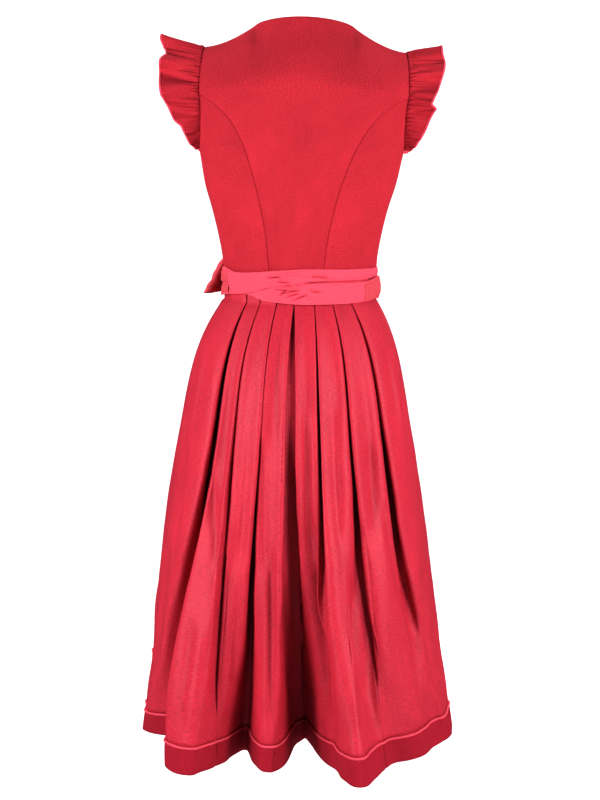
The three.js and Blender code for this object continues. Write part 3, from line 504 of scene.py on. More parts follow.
for name, (side, full, lift, seed) in FRILLS.items():
    shares = np.linspace(0.02, 0.98, 560)
    root, way = evenly(armhole(side), shares)
    height = ease(-190, -40, root[:, 2])
    back = np.where(shares < 0.5, 1, -1)
    out = unit(np.stack([side + 0 * height, 0.16 * back * (1 - height),
                         mix(-0.22, lift, height)], -1))
    up = 2 * np.minimum(shares, 1 - shares)
    width = along(FRILL_REACH[name], "up", "reach", up)
    width = width * np.where(back < 0, mix(0.55, 1, ease(0, 0.35, up)), 1)
    normal = unit(np.cross(out, way))
    upper = np.stack([0 * height, back * (1 - height), height], -1)
    normal *= np.where((normal * upper).sum(1) < 0, -1, 1)[:, None]
    distance = 1 + np.maximum(1, width - FRILL_EDGE)[:, None] * np.linspace(0, 1, 30) ** 1.15
    wave = np.sin(9 * 2 * np.pi * shares + 0.6 + 0.9 * wander(seed, 17, shares))
    wave = wave + 0.3 * np.sin(31 * shares)
    wave = (wave * (1 - 0.55 * ease(0.36, 0.44, shares) * (1 - ease(0.52, 0.6, shares))))[:, None]
    swing = FRILL_WAVE * wave * (distance / full) ** 1.3
    lean = -back[:, None] * 8 * wave * (distance / full) ** 1.6
    gathers = 1 - 2 * np.abs(np.sin(np.pi * 58 * shares + 2.4 * wander(seed + 1, 30, shares)))
    gathers = (gathers * (0.65 + 0.35 * wander(seed + 2, 60, shares)))[:, None]
    swing = swing - GATHER_DEPTH * gathers * np.exp(-distance / 11) * ease(0, 4, distance)
    folds = np.sin(2 * np.pi * 23 * shares + 3 * wander(seed + 3, 20, shares))[:, None]
    folds = folds * ease(2, 16, distance) * (1 - 0.6 * ease(20, 55, distance))
    swing = swing + FRILL_FOLD * folds
    grid = root[:, None] + out[:, None] * distance[..., None] + normal[:, None] * swing[..., None]
    grid = (grid + way[:, None] * lean[..., None]).transpose(1, 0, 2)
    piece = cloth_sheet("frill_" + name + "_wing", grid, FRILL_CLOTH, [crepe])
    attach(piece, "root")
    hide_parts("frill_" + name)
    edge_line = grid[-1] + out * 0.9
    edge = rolled_edge("frill_" + name + "_rolled_edge", edge_line, FRILL_EDGE_RADIUS, coral)
    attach(edge, "root")
    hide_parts("frill_edge_" + name)


# ---- skirt ----
# Satin panels, pleated into the waist seam and let go below it, so that every pleat opens into a
# soft lobe at the hem. A left and a right front panel meet at the centre front under the apron;
# the back panel joins them inside a pleat at each side.
HEM_Z = -1068
WAIST_RING = (114.4, 90.4)  # half width and depth of the ring of pleat edges at the waist
HIP_RING = (175.5, 149)
HEM_RING = (248, 196)  # the plain cone along which every fold sets off
HIP_SHIFT = 7
HEM_SHIFT = 14
HIP_LEVEL = 0.3
OPENING = 0.3  # how soon a fold turns from the cone towards its own place in the hem
EDGE_STAND = 3.5  # how far folded edges stand out from the cloth at the hip
HIP_OVERLAP = 0.38
FLARE = 2.2  # how strongly the cloth leaves the waist outwards
LAP = 7.2  # degrees that the inverted pleat at centre back laps
TUCK = 1.2  # degrees that the others' inner folds lie behind the edge
LIP = 1.3  # degrees from a fold's edge to the cloth that comes up beside it
PLEAT_DEPTH = 6
TUCK_DEPTH = 9
FOLD_WIDTH = 2.2
HIP_TURNS = {  # turns at the waist, and where they have got to at the hip
    "waist": [-180, -98, -80, -60, -41.4, -33, -25.1, -17.5, -11.2, -4, 3.6, 4.9, 18, 31.1,
              37, 42, 44, 180],
    "hip": [-180, -98.5, -82, -64, -48.8, -38, -28.4, -20, -12, -5.5, -0.7, 5.3, 17.3, 31.2,
            35.4, 39.2, 44.4, 180],
}
SOFT_SPREAD = 1.2
# Inner folds that differ from the others, by turn at the waist: how many times as deep, how many
# degrees they lie under the fold above them at the hip, and how far away their lip comes up.
POCKETS = {
    44: (1.7, 13, 1), -41.4: (1.5, -12, 2.6), -25.1: (1.3, -5, 1.6), 18: (1.1, 3, 1),
    3.6: (0.75, 0, 1), 4.9: (0.25, 0, 1),
}
SKIRT_CLOTH = 1.2
HEM_BAND = 34
PIPING = 2.6
BELT_EDGE_Z = -407
BELT_DIP = 10
SEAM_ROWS = (13, 31)  # the rows of FOLDS after which the panels' seams come

# One row per fold line, from the centre front round past the wearer's left: turn from centre back
# at the waist, lap to the pleat's inner fold (1 or -1), share of the pleat's depth at the waist,
# x and y where the line meets the hem, how softly it turns there, hem height, and its kind: "out"
# is a folded edge that shows, "in" the fold under it, "lip" the cloth coming up beside that fold
# and no kind a soft crest or hollow.
Fold = namedtuple("Fold", "turn lap depth x y softness lift kind", defaults=["soft"])
FOLDS = [Fold(*row) for row in (
    (180, 0, 0, 4, -212, 24, 30),
    (169, 0, 0.1, 38, -184, 20, 31),
    (158, 0, 0, 78, -214, 24, 31),
    (147, 0, 0.1, 112, -178, 20, 34),
    (136, 0, 0, 160, -202, 24, 36),
    (120, -1, 1, 172, -142, 14, 38, "in"),
    (120, 0, 0, 214, -172, 14, 42, "out"),
    (109, 0, 0.38, 248, -140, 16, 60),
    (98, -1, 1, 190, -98, 16, 24, "in"),
    (98, 0, 0, 226, -90, 14, 12, "out"),
    (80, 0, 0.3, 240, -62, 16, 4),
    (62, 0, 0.1, 243, -44, 14, 1),
    (44, 0, 0, 235, -22, 16, 0, "out"),
    (44, 1, 1, 164, 40, 12, 6, "in"),
    (42, 0, 0.2, 194, 130, 8, 0, "lip"),
    (37, 0, 0.29, 158, 186, 22, 0),
    (31.1, 0, 0, 136, 158, 6, 0, "out"),
    (31.1, 1, 1, 126, 145, 6, 0, "in"),
    (24, 0, 0.3, 108, 124, 6, 0),
    (18, 0, 0, 101, 88, 8, 0, "out"),
    (18, 1, 1, 77, 54, 12, 0, "in"),
    (16, 0, 0.2, 66, 128, 8, 0, "lip"),
    (10.5, 0, 0.28, 46, 170, 12, 0),
    (4.9, 0, 0, 28, 154, 10, 0, "out"),
    (4.9, 1, 1, 4, 36, 8, 0, "in"),
    (3.6, -1, 1, -8, 4, 6, 0, "in"),
    (3.6, 0, 0, -20, 52, 8, 0, "out"),
    (-4, 0, 0.35, -38, 122, 10, 0),
    (-11.2, -1, 1, -55, 158, 6, 0, "in"),
    (-11.2, 0, 0, -60, 186, 6, 0, "out"),
    (-17.5, 0, 0.3, -82, 228, 12, 0),
    (-25.1, -1, 1, -113, 168, 8, 0, "in"),
    (-25.1, 0, 0, -131, 122, 8, 0, "out"),
    (-33, 0, 0.34, -168, 100, 14, 0),
    (-41.4, -1, 1, -206, 34, 14, 0, "in"),
    (-41.4, 0, 0, -226, 0, 14, 0, "out"),
    (-60, 0, 0.1, -233, -26, 14, 0),
    (-80, 0, 0.3, -231, -58, 16, 4),
    (-98, 0, 0, -222, -84, 14, 10, "out"),
    (-98, 1, 1, -184, -92, 14, 16, "in"),
    (-109, 0, 0.38, -232, -138, 18, 24),
    (-120, 0, 0, -204, -172, 14, 30, "out"),
    (-120, 1, 1, -162, -142, 14, 32, "in"),
    (-136, 0, 0, -150, -202, 24, 32),
    (-147, 0, 0.1, -106, -180, 20, 31),
    (-158, 0, 0, -72, -214, 24, 30),
    (-169, 0, 0.1, -34, -184, 20, 30),
)]
# A line has four points and its stand, two numbers each, and then:
TOP, LOW, TURN, FOLDED, INNER = range(10, 15)
HEM_POINT = slice(8, 10)
SEAM_TURN = 999  # stands for the turn of the lines let in for the seams
PLAIN_POCKET = (1, 0, 1)


def ring_point(ring, turn, off):
    turn = np.radians(turn)
    x, y = np.broadcast_arrays((ring[0] + off) * np.sin(turn), (ring[1] + off) * np.cos(turn))
    return np.stack([x, y], -1)


def fold_line(waist_turn, hip_turn, deep, stand, hem, low, turn, folded, inner):
    way = unit(ring_point(WAIST_RING, hip_turn, 0))
    pocket, under, _ = POCKETS.get(turn, PLAIN_POCKET) if inner == 1 else PLAIN_POCKET
    hip_turn += under
    return np.concatenate([
        ring_point(WAIST_RING, waist_turn, -deep),
        ring_point(HIP_RING, hip_turn, -2.6 * deep * pocket) + (HIP_SHIFT, 0),
        ring_point(HEM_RING, hip_turn, -3.4 * deep * pocket) + (HEM_SHIFT, 0),
        way * 4 * stand,
        hem,
        [BELT_EDGE_Z - BELT_DIP * max(0, np.cos(np.radians(waist_turn))), HEM_Z + low,
         turn, folded, inner]])


def hem_of(fold):
    return np.array([fold.x, fold.y], float)


def line_pair(fold, before, after, hip, boxed):
    """The two lines a fold is made of, a little before it and a little after."""
    folded = fold.kind in ("in", "out")
    over = fold.lap * (LAP if boxed else TUCK)
    over_hip = fold.lap * (LAP * HIP_OVERLAP if boxed else TUCK * 0.5)
    stand = EDGE_STAND * {"out": 1, "in": -1}.get(fold.kind, 0)
    for side, other in ((-1, before), (1, after)):
        hidden = folded and other.kind in ("in", "out") and other.turn == fold.turn
        spread = {"soft": -side * SOFT_SPREAD, "lip": -side * 0.4}.get(fold.kind, 0)
        deep = fold.depth * PLEAT_DEPTH
        if fold.kind == "out":
            deep = FOLD_WIDTH * hidden
        if fold.kind == "in":
            deep = (PLEAT_DEPTH if boxed else TUCK_DEPTH) - FOLD_WIDTH * hidden
        step = hem_of(other) - hem_of(fold)
        length = np.linalg.norm(step)
        hem = hem_of(fold) + step / length * min(fold.softness, 0.42 * length)
        yield fold_line(fold.turn + over + spread, hip + over_hip + spread, deep, stand, hem,
                        fold.lift, fold.turn, folded, fold.kind == "in")


def fold_lines():
    """Every line round the skirt. Beside each folded edge comes the lip of the cloth under it, and
    two lines are let in for the seams."""
    lines = []
    for k, fold in enumerate(FOLDS):
        before, after = FOLDS[k - 1], FOLDS[(k + 1) % len(FOLDS)]
        boxed = fold.kind == "in" and "in" in (after.kind, before.kind)
        hip = float(np.interp(fold.turn, HIP_TURNS["waist"], HIP_TURNS["hip"]))
        pair = list(line_pair(fold, before, after, hip, boxed))
        if k in SEAM_ROWS:
            pair.append(None)
        far = before if after.kind == "out" else after
        if fold.kind == "in" and not boxed and far.kind == "soft":
            beside = -LIP * fold.lap
            away = POCKETS.get(fold.turn, PLAIN_POCKET)[2]
            lip = fold_line(fold.turn + beside, hip + 1.3 * away * beside, 1.2, 0,
                            mix(hem_of(fold), hem_of(far), 0.34), mix(fold.lift, far.lift, 0.34),
                            fold.turn, 1, 2)
            pair = [lip] + pair if after.kind == "out" else pair + [lip]
        lines.extend(pair)
    seams = [i for i, line in enumerate(lines) if line is None]
    for i in seams:
        lines[i] = (lines[i - 1] + lines[i + 1]) / 2
        lines[i][TURN:] = (SEAM_TURN, 1, 1)
    return np.array(lines), seams


# Where folds swing further out on their way down, by turn at the waist: x and y at mid height.
# The second number of the key tells the inner fold, 1, from the outer, 0.
SWINGS = {
    (44, 0): (14, 8), (42, 0): (25, 4), (37, 0): (7, 0), (98, 0): (3, 0), (3.6, 0): (-4, 0),
    (-25.1, 0): (2, 4), (-25.1, 1): (-2, -16), (-25.1, 2): (6, -4), (-33, 0): (-3, 6),
    (109, 0): (14, 0), (3.6, 1): (0, 16), (4.9, 1): (0, 16),
}
# Where a fold has faded into the lobe round it: from and to which level, whether it goes as a
# whole or only its inner part, how much the cloth then bulges there, and from where on it is
# back towards its place in the hem.
FADES = {
    31.1: (0.4, 0.62, "whole", 0.12, 2), -11.2: (0.4, 0.8, "inner", -0.1, 0.8),
    -41.4: (0.36, 0.85, "inner", 0, 0.85), -25.1: (0.42, 0.75, "inner", -0.3, 0.7),
}


def faded(lines, points, level):
    for turn, (start, end, part, bulge, back) in FADES.items():
        chosen = np.flatnonzero((lines[:, TURN] == turn)
                                & ((lines[:, INNER] > 0) | (part == "whole")))
        if len(chosen) == 0:
            continue
        first, last = chosen[0] - 1, chosen[-1] + 1
        run = steps(lines[first:last + 1, HEM_POINT])
        share = (np.cumsum(run) / run.sum())[:-1, None]
        plain = mix(points[first], points[last], share)
        way = points[last] - points[first]
        plain = plain + np.array([way[1], -way[0], 0]) * bulge * 4 * share * (1 - share)
        amount = ease(start, end, level[chosen, None]) * (1 - ease(back, 1, level[chosen, None]))
        points[chosen] = mix(points[chosen], plain, amount)
    return points


def drape(lines, level):
    """Points of every line at a level: 0 under the belt, 1 at the hem; below 0 up to the seam."""
    waist, hip, cone, stand, hem = (lines[:, 2 * k:2 * k + 2] for k in range(5))
    level = np.broadcast_to(level, (len(lines),)).astype(float)
    z = mix(lines[:, TOP], lines[:, LOW], level)
    out = mix(cone, hem, OPENING) - hip + stand
    t = ((level - HIP_LEVEL) / (1 - HIP_LEVEL))[:, None]
    swing = np.array([SWINGS.get(tuple(line[[TURN, INNER]]), (0, 0)) for line in lines])
    lower = hip + out * t + (hem - hip - out) * t * t + swing * 4 * t * t * (1 - t)
    share = HIP_LEVEL / (1 - HIP_LEVEL)
    upper = french_curve(waist, hip, FLARE * (hip - waist), share * out, (level / HIP_LEVEL)[:, None])
    upper = np.where((level <= 0)[:, None], waist, upper)
    flat = np.where((level >= HIP_LEVEL)[:, None], lower, upper)
    return faded(lines, np.concatenate([flat, z[:, None]], 1), level)


def unevenness(seed, rows, columns, share_u, share_v):
    """A smooth random field between about -1 and 1, rows by columns of swings, at shares across
    and down it."""
    field = np.random.default_rng(seed).uniform(-1, 1, (rows + 3, columns + 3))
    v, u = np.clip(share_v, 0, 1) * rows, np.clip(share_u, 0, 1) * columns
    i, j = np.floor(v).astype(int), np.floor(u).astype(int)
    down, across = ([(1 - f) ** 3 / 6, (3 * f ** 3 - 6 * f * f + 4) / 6,
                     (-3 * f ** 3 + 3 * f * f + 3 * f + 1) / 6, f ** 3 / 6] for f in (v - i, u - j))
    return 2.2 * sum(
        down[a] * across[b] * field[np.minimum(i + a, rows + 2), np.minimum(j + b, columns + 2)]
        for a in range(4) for b in range(4))


satin = woven("red_satin", (0.635, 0.058, 0.099), (1.2, 1.0), (5, 1.5), 0.4, 0.42, 0.5, 0.24)

LINES, SEAMS = fold_lines()
HEM_STEPS = steps(np.concatenate([LINES, LINES[:1]])[:, HEM_POINT])
COUNTS = np.clip(np.round(HEM_STEPS / 5), 4, 14).astype(int)


def skirt_section(level):
    return curve_through(drape(LINES, level), COUNTS, closed=True)


def straight_out(across):
    """Outward and level, square to the way that rows of points run round the dress."""
    return unit(np.stack([across[..., 1], -across[..., 0], np.zeros(across.shape[:-1])], -1))


def out_of_rings(rings):
    return straight_out(np.roll(rings, -1, 1) - np.roll(rings, 1, 1))


# Sections from the waist seam to the belt's edge, on to the middle of the piping and to the hem.
piping_level = 1 - (HEM_BAND + PIPING / 2) / (LINES[:, TOP] - LINES[:, LOW])
main = [skirt_section(s * piping_level) for s in np.linspace(0, 1, 92) ** 1.15]
band = [skirt_section(mix(piping_level, 1, s)) for s in np.linspace(0, 1, 14)]
top = np.array(main[:1] * 4)
for ring, s in zip(top, (0, 0.25, 0.5, 0.75)):
    ring[:, 2] = mix(mix(WAIST_Z, BELT_EDGE_Z, s), ring[:, 2], s)

# Troughs pressed into the back of the skirt: x and z of both ends, half width and depth in mm.
TROUGHS = [
    (-150, -800, -168, -905, 6, 3), (-168, -900, -173, -1000, 5, 3), (-180, -800, -192, -862, 6, 2.5),
    (-193, -890, -219, -1020, 5, 3), (-175, -870, -206, -990, 5, 2.5), (-190, -960, -215, -1010, 4, 2),
    (-140, -1020, -180, -1030, 6, 2.5), (-118, -700, -150, -860, 7, 2.5), (-100, -610, -108, -760, 6, 1.5),
    (96, -760, 122, -1000, 9, 3), (128, -640, 116, -800, 7, 2), (150, -860, 170, -1010, 8, 2.5),
    (82, -800, 96, -960, 6, 2), (40, -760, 42, -1010, 6, 2.5), (52, -600, 50, -800, 6, 1.5),
    (8, -700, 10, -900, 5, 2), (-8, -560, -14, -800, 5, 2), (-22, -780, -34, -1000, 6, 3),
    (-62, -720, -76, -960, 7, 2), (-46, -560, -54, -760, 6, 1.5), (165, -600, 186, -800, 6, 2),
    (196, -760, 215, -960, 7, 2.5), (132, -460, 150, -600, 5, 1.5), (-128, -470, -140, -600, 5, 1.5),
    (-90, -720, -104, -970, 12, 4.5), (-18, -700, -38, -1000, 11, 4.5),
]
TROUGH_RIM = (0.55, 1.9, 1.1)  # the bulge beside it: height, place and width, as shares of it
TROUGH_DEPTH = 1.8


def trough(across, down, run, width, rim):
    """How far points lie in a trough that runs from (0, 0) to `run` and fades at its ends."""
    length = np.hypot(*run)
    share = np.clip((across * run[0] + down * run[1]) / length ** 2, 0, 1)
    beside = (across * run[1] - down * run[0]) / length / width
    bulge = rim[0] * np.exp(-((beside - rim[1]) / rim[2]) ** 2)
    return (1 - (2 * share - 1) ** 4) * (np.exp(-beside ** 2) - bulge)


def creased(rings, seed):
    """Small uneven creases: long ones down the pleats, short slanting ones low on the lobes, and
    the troughs at the back."""
    drop = np.clip((BELT_EDGE_Z - rings[..., 2]) / (BELT_EDGE_Z - HEM_Z), 0, 1)
    run = np.arange(rings.shape[1]) / rings.shape[1]
    long_folds = unevenness(seed, 5, 88, run, drop)
    slant = unevenness(seed + 1, 16, 60, (run + 0.035 * drop) % 1, drop)
    fine = unevenness(seed + 2, 34, 130, (run - 0.02 * drop) % 1, drop)
    swell = 1.9 * long_folds + 1.3 * slant * ease(0.3, 0.8, drop) + 0.3 * fine
    swell = swell * ease(0.02, 0.45, drop)
    normal = out_of_rings(rings)
    behind = ease(-0.1, 0.4, normal[..., 1])
    for x_from, z_from, x_to, z_to, width, depth in TROUGHS:
        pressed = trough(rings[..., 0] - x_from, rings[..., 2] - z_from,
                         (x_to - x_from, z_to - z_from), width, TROUGH_RIM)
        swell = swell - TROUGH_DEPTH * depth * behind * pressed
    return rings + normal * swell[..., None]


whole = creased(np.concatenate([top, main, band[1:]]), 21)
main, band = np.split(whole, [-14])
main = np.concatenate([main, band[:1]])
seam_left, seam_right = running(COUNTS)[SEAMS]
PANELS = {  # its columns of the rings, and its flat width, length and area in metres
    "left": (np.arange(0, seam_left + 1), 0.62, 0.66, 0.3),
    "back": (np.arange(seam_left, seam_right + 1), 0.85, 0.68, 0.3),
    "right": (np.concatenate([np.arange(seam_right, main.shape[1]), [0]]), 0.62, 0.66, 0.33),
}
for name, (columns, width, length, area) in PANELS.items():
    piece = cloth_sheet("skirt_" + name + "_panel", main[:, columns], SKIRT_CLOTH, [satin])
    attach(piece, "root")
    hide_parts("skirt_" + name)


# ---- hem band and piping ----
# A doubled strip of satin sewn round the foot of the skirt, coloured darker than the skirt's as painted
# shade there, with a roll of coral piping caught in the seam above it. Both come in three lengths, joined
# inside the pleats like the skirt.
BAND_CLOTH = 2
BAND_PROUD = 0.5  # it is doubled, so its outside stands out from the skirt's
PIPING_ROLL = 1.85
PIPING_PROUD = 1.5

# Painted shade: the band's satin is coloured darker than the skirt's to stand in for the shade at the foot
# of the skirt.
band_satin_painted_shade = woven("hem_band_satin_painted_shade", (0.43, 0.031, 0.059), (1.0, 1.2), (4, 1.8), 0.65, 0.34, 0.45)

band_out = out_of_rings(band)
for name, (columns, width, *_) in PANELS.items():
    strip = (band + band_out * BAND_PROUD)[:, columns]
    strip = rolled_seams(strip, depth=1.6, width=1.1)
    piece = cloth_sheet("hem_band_" + name + "_strip", strip, BAND_CLOTH, [band_satin_painted_shade])
    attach(piece, "root")
    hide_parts("hem_band_" + name)
    line = (band + band_out * PIPING_PROUD)[0, columns]
    roll = rolled_edge("hem_piping_" + name + "_roll", line, PIPING_ROLL, coral)
    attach(roll, "root")
    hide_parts("hem_piping_" + name)


# ---- apron ----
# A panel of coral satin, gathered into a waistband. It hangs over the outer folds of the skirt's
# front, 52 mm shorter than the skirt, and has plain edges.
APRON_TURN = 120
APRON_CLEAR = 6.2
APRON_SHORTER = 52
APRON_CLOTH = 1.0
outer = LINES[LINES[:, INNER] == 0]
APRON = np.concatenate([outer[outer[:, TURN] <= -APRON_TURN], outer[outer[:, TURN] >= APRON_TURN]])
for i, line in enumerate(APRON):
    spread = SOFT_SPREAD / 2 if line[FOLDED] else SOFT_SPREAD
    turn = line[TURN] + (-spread if i % 2 else spread)
    line[0:2] = ring_point(WAIST_RING, turn, 0)
    line[2:4] = ring_point(HIP_RING, turn, 0) + (HIP_SHIFT, 0)
    line[4:6] = ring_point(HEM_RING, turn, 0) + (HEM_SHIFT, 0)
APRON_COUNTS = np.clip(np.round(steps(APRON[:, HEM_POINT]) / 5), 3, 14).astype(int)


def apron_section(level):
    return curve_through(drape(APRON, level), APRON_COUNTS)


apron_low = 1 - APRON_SHORTER / (APRON[:, TOP] - APRON[:, LOW])
share = np.linspace(0, 1, 90) ** 1.15
apron = np.array([apron_section(s * apron_low) for s in share])
run = np.linspace(0, 1, apron.shape[1])
drop = share[:, None]
swell = 2.8 * unevenness(61, 4, 30, run, drop) * ease(0.02, 0.4, drop)
swell = swell + 1.3 * unevenness(62, 3, 90, run, drop) * (1 - ease(0.05, 0.6, drop))
apron = apron + straight_out(np.gradient(apron, axis=1)) * (APRON_CLEAR + swell)[..., None]
piece = cloth_sheet("apron_panel_cloth", apron, APRON_CLOTH, [coral])
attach(piece, "root")
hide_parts("apron_panel")


# ---- waistband and ties ----
# The apron's satin waistband runs on into two long ties. They cross at centre back, go on round
# the waist over the band and end in the bow; their long ends are coloured darker as painted shade, with
# their edges left coral.
TIE_CLOTH = 1.0
BELT_OUTER = 3.8  # how far the outer tie's middle stands off the waist
# Each tie by its turn round the waist: height of its middle, width, how far it stands off, how far
# its upper edge curls out and how far its middle bulges.
TIE_RIGHT = {
    "turn": [-119, -90, -60, -30, -8, 2, 17, 28, 45, 64, 85, 118.5],
    "z": [-388, -376, -379.5, -381.5, -380.5, -379, -379.5, -383, -386, -385.5, -385, -387],
    "width": [31, 32, 31, 30, 28, 24, 22, 26, 31, 33, 36, 28],
    "off": [2, 2, 2, 2, 2, 2.2, 3.6] + [BELT_OUTER] * 5,
}
TIE_LEFT = {
    "turn": [-240.5, -180, -120, -92, -75, -52, -30, -8, 2, 17, 27, 37, 55, 75, 90, 119],
    "z": [-387.5, -388.5, -389, -391, -391.5, -398.5, -401.5, -402.5, -404, -402.5, -398, -390, -384,
          -376, -377, -388],
    "width": [28, 31, 32, 34, 33, 29, 31, 31, 27, 25, 28, 30, 30, 31, 31, 31],
    "off": [BELT_OUTER] * 8 + [3.6, 2.2, 2, 2, 2, 2, 2, 2],
    "curl": [0, 0, 0, 0.5, 3, 3, 2, 1.2, 0.8] + [0] * 7,
    "belly": [0, 0, 0, 2.6, 3, 0.6] + [0] * 10,
}
BAND = {"turn": [-241, -180, -119], "z": [-388, -388.5, -388], "width": [31, 32, 31], "off": [2, 2, 2]}
# Where the ties are nipped together, by turn and height: from and to.
NIPS = [
    (16.6, -384.2, 6.3, -387.2), (10.9, -389.8, 4.4, -391.7), (18.5, -395.6, 2.6, -398.6),
    (12.8, -401.2, -0.2, -396.3), (10, -407, -0.2, -401.2), (14.9, -405, 9, -395),
    (5.6, -412, -5.6, -403), (24, -379, 13, -377.5), (-8, -377, -20, -378.5), (-6, -398, -15, -400),
    (0, -387, -22, -384.6), (-16, -385, -42, -383.6), (-36, -384, -58, -381), (-52, -382.4, -66, -377.5),
    (-60, -380, -74, -373),
]
NIP_DEPTH = 3.4
NIP_RIM = (1.4 / NIP_DEPTH, 2.2, 1.5)
JOIN_LEFT = 63
JOIN_RIGHT = -53
BUNCH = {  # how strongly the creases draw together
    "turn": [-240, -60, -36, -14, 4, 20, 30, 60, 120],
    "deep": [0.1, 0.15, 0.35, 0.9, 1, 0.8, 0.3, 0.2, 0.5],
}


def strap(table, start, end, columns, seed):
    """A tie laid round the waist, with creases that run along it and draw together."""
    turn = np.linspace(start, end, columns)
    rows = np.linspace(0.5, -0.5, 41)[:, None]
    centre = ring_point(WAIST_RING, turn, along(table, "turn", "off", turn))
    way = unit(ring_point(WAIST_RING[::-1], turn, 0))
    z = along(table, "turn", "z", turn) + rows * along(table, "turn", "width", turn)
    place = (turn - min(start, end)) / abs(end - start)
    swings = abs(end - start) / 12
    fold = unevenness(seed, 6, int(swings), place, rows + 0.5)
    small = unevenness(seed + 1, 10, int(swings * 2.2), place, rows + 0.5)
    pull = along(BUNCH, "turn", "deep", turn)
    stand = (0.5 + 0.9 * pull) * fold + (0.25 + 0.4 * pull) * small
    for turn_from, z_from, turn_to, z_to in NIPS:
        run = (np.radians(turn_to - turn_from) * WAIST_RING[0], z_to - z_from)
        over = np.radians(turn - turn_from) * WAIST_RING[0]
        stand = stand - NIP_DEPTH * trough(over, z - z_from, run, 1, NIP_RIM)
    if "curl" in table:
        stand = stand + along(table, "turn", "curl", turn) * np.exp(-((rows - 0.5) / 0.14) ** 2)
        stand = stand + along(table, "turn", "belly", turn) * np.cos(np.pi * rows)
    stand = stand * (1 - (2 * np.abs(rows)) ** 6 * 0.5)
    return np.concatenate([centre[None] + way[None] * stand[..., None], z[..., None]], -1)


def edged(grid, border=1):
    """Marks the outermost rows of faces, which take the second finish: coral edges beside a middle
    coloured darker as painted shade.
    """
    marks = np.zeros((grid.shape[0] - 1, grid.shape[1] - 1), int)
    marks[:border] = 1
    marks[-border:] = 1
    return marks


# Painted shade: the coral satin again, coloured darker, for the shaded sides of the ties and for the bow.
painted_shade_coral = woven("crimson_satin", (0.62, 0.112, 0.140), (0.9, 0.8), (6, 1.6), 0.6, 0.25, 0.35)

FOLD_DEPTH = 2.6
# The end strips carry painted shade in their middle and keep coral edges.
TIES = {
    "apron_waistband": ("waistband_strip", BAND, -119, -241, 160, [coral], 31),
    "tie_right_back": ("tie_right_strip", TIE_RIGHT, -119, JOIN_LEFT, 380, [coral], 37),
    "tie_right_end": ("tie_right_end_strip", TIE_RIGHT, JOIN_LEFT, 118.8, 90, [painted_shade_coral, coral], 41),
    "tie_left_back": ("tie_left_strip", TIE_LEFT, 119, JOIN_RIGHT, 380, [coral], 43),
    "tie_left_end": ("tie_left_end_strip", TIE_LEFT, JOIN_RIGHT, -240.8, 240, [painted_shade_coral, coral], 47),
}
for node, (name, table, start, end, columns, finishes, seed) in TIES.items():
    grid = strap(table, start, end, columns, seed)
    marks = edged(grid, 2) if len(finishes) > 1 else None
    if node == "tie_right_end":
        # it is folded once along its middle
        rows = np.linspace(0.5, -0.5, len(grid))[:, None]
        grid -= outward(grid) * (FOLD_DEPTH * np.exp(-(rows / 0.07) ** 2))[..., None]
    piece = cloth_sheet(name, grid, TIE_CLOTH, finishes, marks)
    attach(piece, "root")
    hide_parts(node)
    long = steps(grid[20]).sum() * MM


# ---- bow ----
# The two long ends are tied at the left front: a knot, two loops that stand out from it and two
# tails that hang over the apron, all in the coral satin coloured darker as painted shade, the loops and
# tails with their edges left coral.
KNOT_TURN = 119
KNOT_Z = -387
KNOT = (13, 7, 14)  # half sizes along the waist, out from it and upwards
KNOT_CLOTH = 0.8
KNOT_OFF = BELT_OUTER + TIE_CLOTH / 2 + 0.5 + KNOT[1]
BOW_CLOTH = 0.9

knot_centre = np.append(ring_point(WAIST_RING, KNOT_TURN, KNOT_OFF), KNOT_Z)
to_back = unit(np.append(ring_point(WAIST_RING, KNOT_TURN - 1, KNOT_OFF), KNOT_Z) - knot_centre)
UP = np.array([0, 0, 1])
knot_out = np.cross(to_back, UP)

rise = np.linspace(-np.pi / 2, np.pi / 2, 41)[:, None]
round_it = np.linspace(0, 2 * np.pi, 73)[None, :]
pleats = -0.05 * np.abs(np.sin(3.5 * round_it + 1.5 * np.sin(rise * 1.5)))
pleats = pleats + 0.02 * unevenness(71, 6, 10, (round_it / np.pi) % 1, (np.sin(rise) + 1) / 2)
pleats = np.cos(rise) * (1 + pleats * np.cos(rise))
ball = (to_back * (KNOT[0] * np.cos(round_it) * pleats)[..., None]
        + knot_out * (KNOT[1] * np.sin(round_it) * pleats)[..., None]
        + UP * KNOT[2] * np.sin(rise)[..., None] + knot_centre)
piece = cloth_sheet("bow_knot_wrap", ball, KNOT_CLOTH, [painted_shade_coral])
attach(piece, "root")
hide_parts("bow_knot")

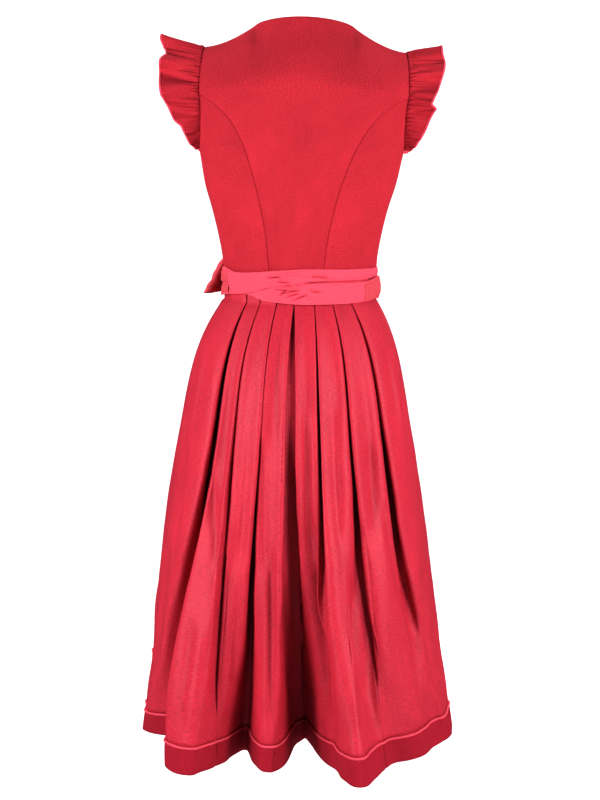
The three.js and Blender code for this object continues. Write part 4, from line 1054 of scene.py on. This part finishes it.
LOOP = {  # from the knot out, round the tip and back, front side first
    "at": [0, 1, 2, 3, 4, 5, 6],
    "reach": [13.4, 31, 47, 54, 47, 31, 13.4],
    "stand": [2, 9, 8, 2, -3, -3.5, -3],
    "rise": [0, 6, 12, 14, 13, 7, 0],
    "width": [20, 38, 50, 52, 46, 36, 18],
    "tilt": [0, 7, 14, 16, 12, 5, 0],
}
LOOP_SLANT = 27  # how much further in its upper edge lies at the tip
for name, direction, seed in (("back", 1, 81), ("front", -1, 91)):
    at = np.linspace(0, 6, 150)
    rows = np.linspace(0.5, -0.5, 31)[:, None]
    reach, stand, rise, width, tilt = (along(LOOP, "at", column, at) for column in list(LOOP)[1:])
    slide = (rows + 0.5) * LOOP_SLANT * (reach - LOOP["reach"][0]) / 40
    grid = (knot_centre + to_back * direction * (reach - slide)[..., None]
            + knot_out * (stand + 4 - reach ** 2 / 260 - rows * tilt)[..., None]
            + UP * (rise + rows * width)[..., None])
    near = np.exp(-(reach - 13) / 16)
    radiating = np.cos(2 * np.pi * 3.2 * (rows + 0.5 + 0.06 * np.sin(5 * at / 6)))
    swell = (1.4 * near + 0.35) * radiating
    swell = swell + 1.1 * unevenness(seed, 5, 7, at / 6, rows + 0.5) * (1 - 0.6 * near)
    grid = grid + outward(grid, knot_centre[:2]) * swell[..., None]
    piece = cloth_sheet("bow_loop_" + name + "_cloth", grid, BOW_CLOTH, [painted_shade_coral, coral], edged(grid))
    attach(piece, "root")
    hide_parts("bow_loop_" + name)

TAILS = {"lower": (430, 9.8, 10, 95), "upper": (385, 12, -12, 99)}  # length, off, shift, seed
TAIL_HALF = (12, 23)  # half its width at the knot and lower down
TAIL_CREST = 136
starts = running(APRON_COUNTS)


def on_crest(level, turn):
    """A place on one of the apron's folds, and which way is out from it."""
    chosen = np.flatnonzero(APRON[:, TURN] == turn)
    way = np.gradient(apron_section(level), axis=0)[starts[chosen[0]]:starts[chosen[-1]] + 1].mean(0)
    return drape(APRON, level)[chosen].mean(0), straight_out(way)


for name, (length, off, shift, seed) in TAILS.items():
    columns = []
    sides = np.linspace(-1, 1, 25)[:, None]
    for share in np.linspace(0, 1, 90):
        level = (4 + share * length) / (BELT_EDGE_Z - HEM_Z)
        start, start_out = on_crest(level, APRON_TURN)
        end, end_out = on_crest(level, TAIL_CREST)
        move = ease(0, 0.5, share)
        normal = unit(mix(start_out, end_out, move))
        sideways = np.array([normal[1], -normal[0], 0])
        across = shift * ease(0, 0.6, share) + mix(*TAIL_HALF, ease(0, 0.4, share)) * sides
        columns.append(mix(start, end, move) + normal * off + sideways * across)
    grid = np.array(columns).transpose(1, 0, 2)
    drop = np.linspace(0, 1, 90)
    across = (sides + 1) / 2
    gather = np.cos(2 * np.pi * 3 * across) * np.exp(-drop / 0.12)
    swell = gather + (0.6 + 0.5 * drop) * unevenness(seed, 7, 3, across, drop)
    grid = grid + outward(grid) * (swell + 0.6)[..., None]
    piece = cloth_sheet("bow_tail_" + name + "_strip", grid, BOW_CLOTH, [painted_shade_coral, coral], edged(grid))
    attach(piece, "root")
    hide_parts("bow_tail_" + name)
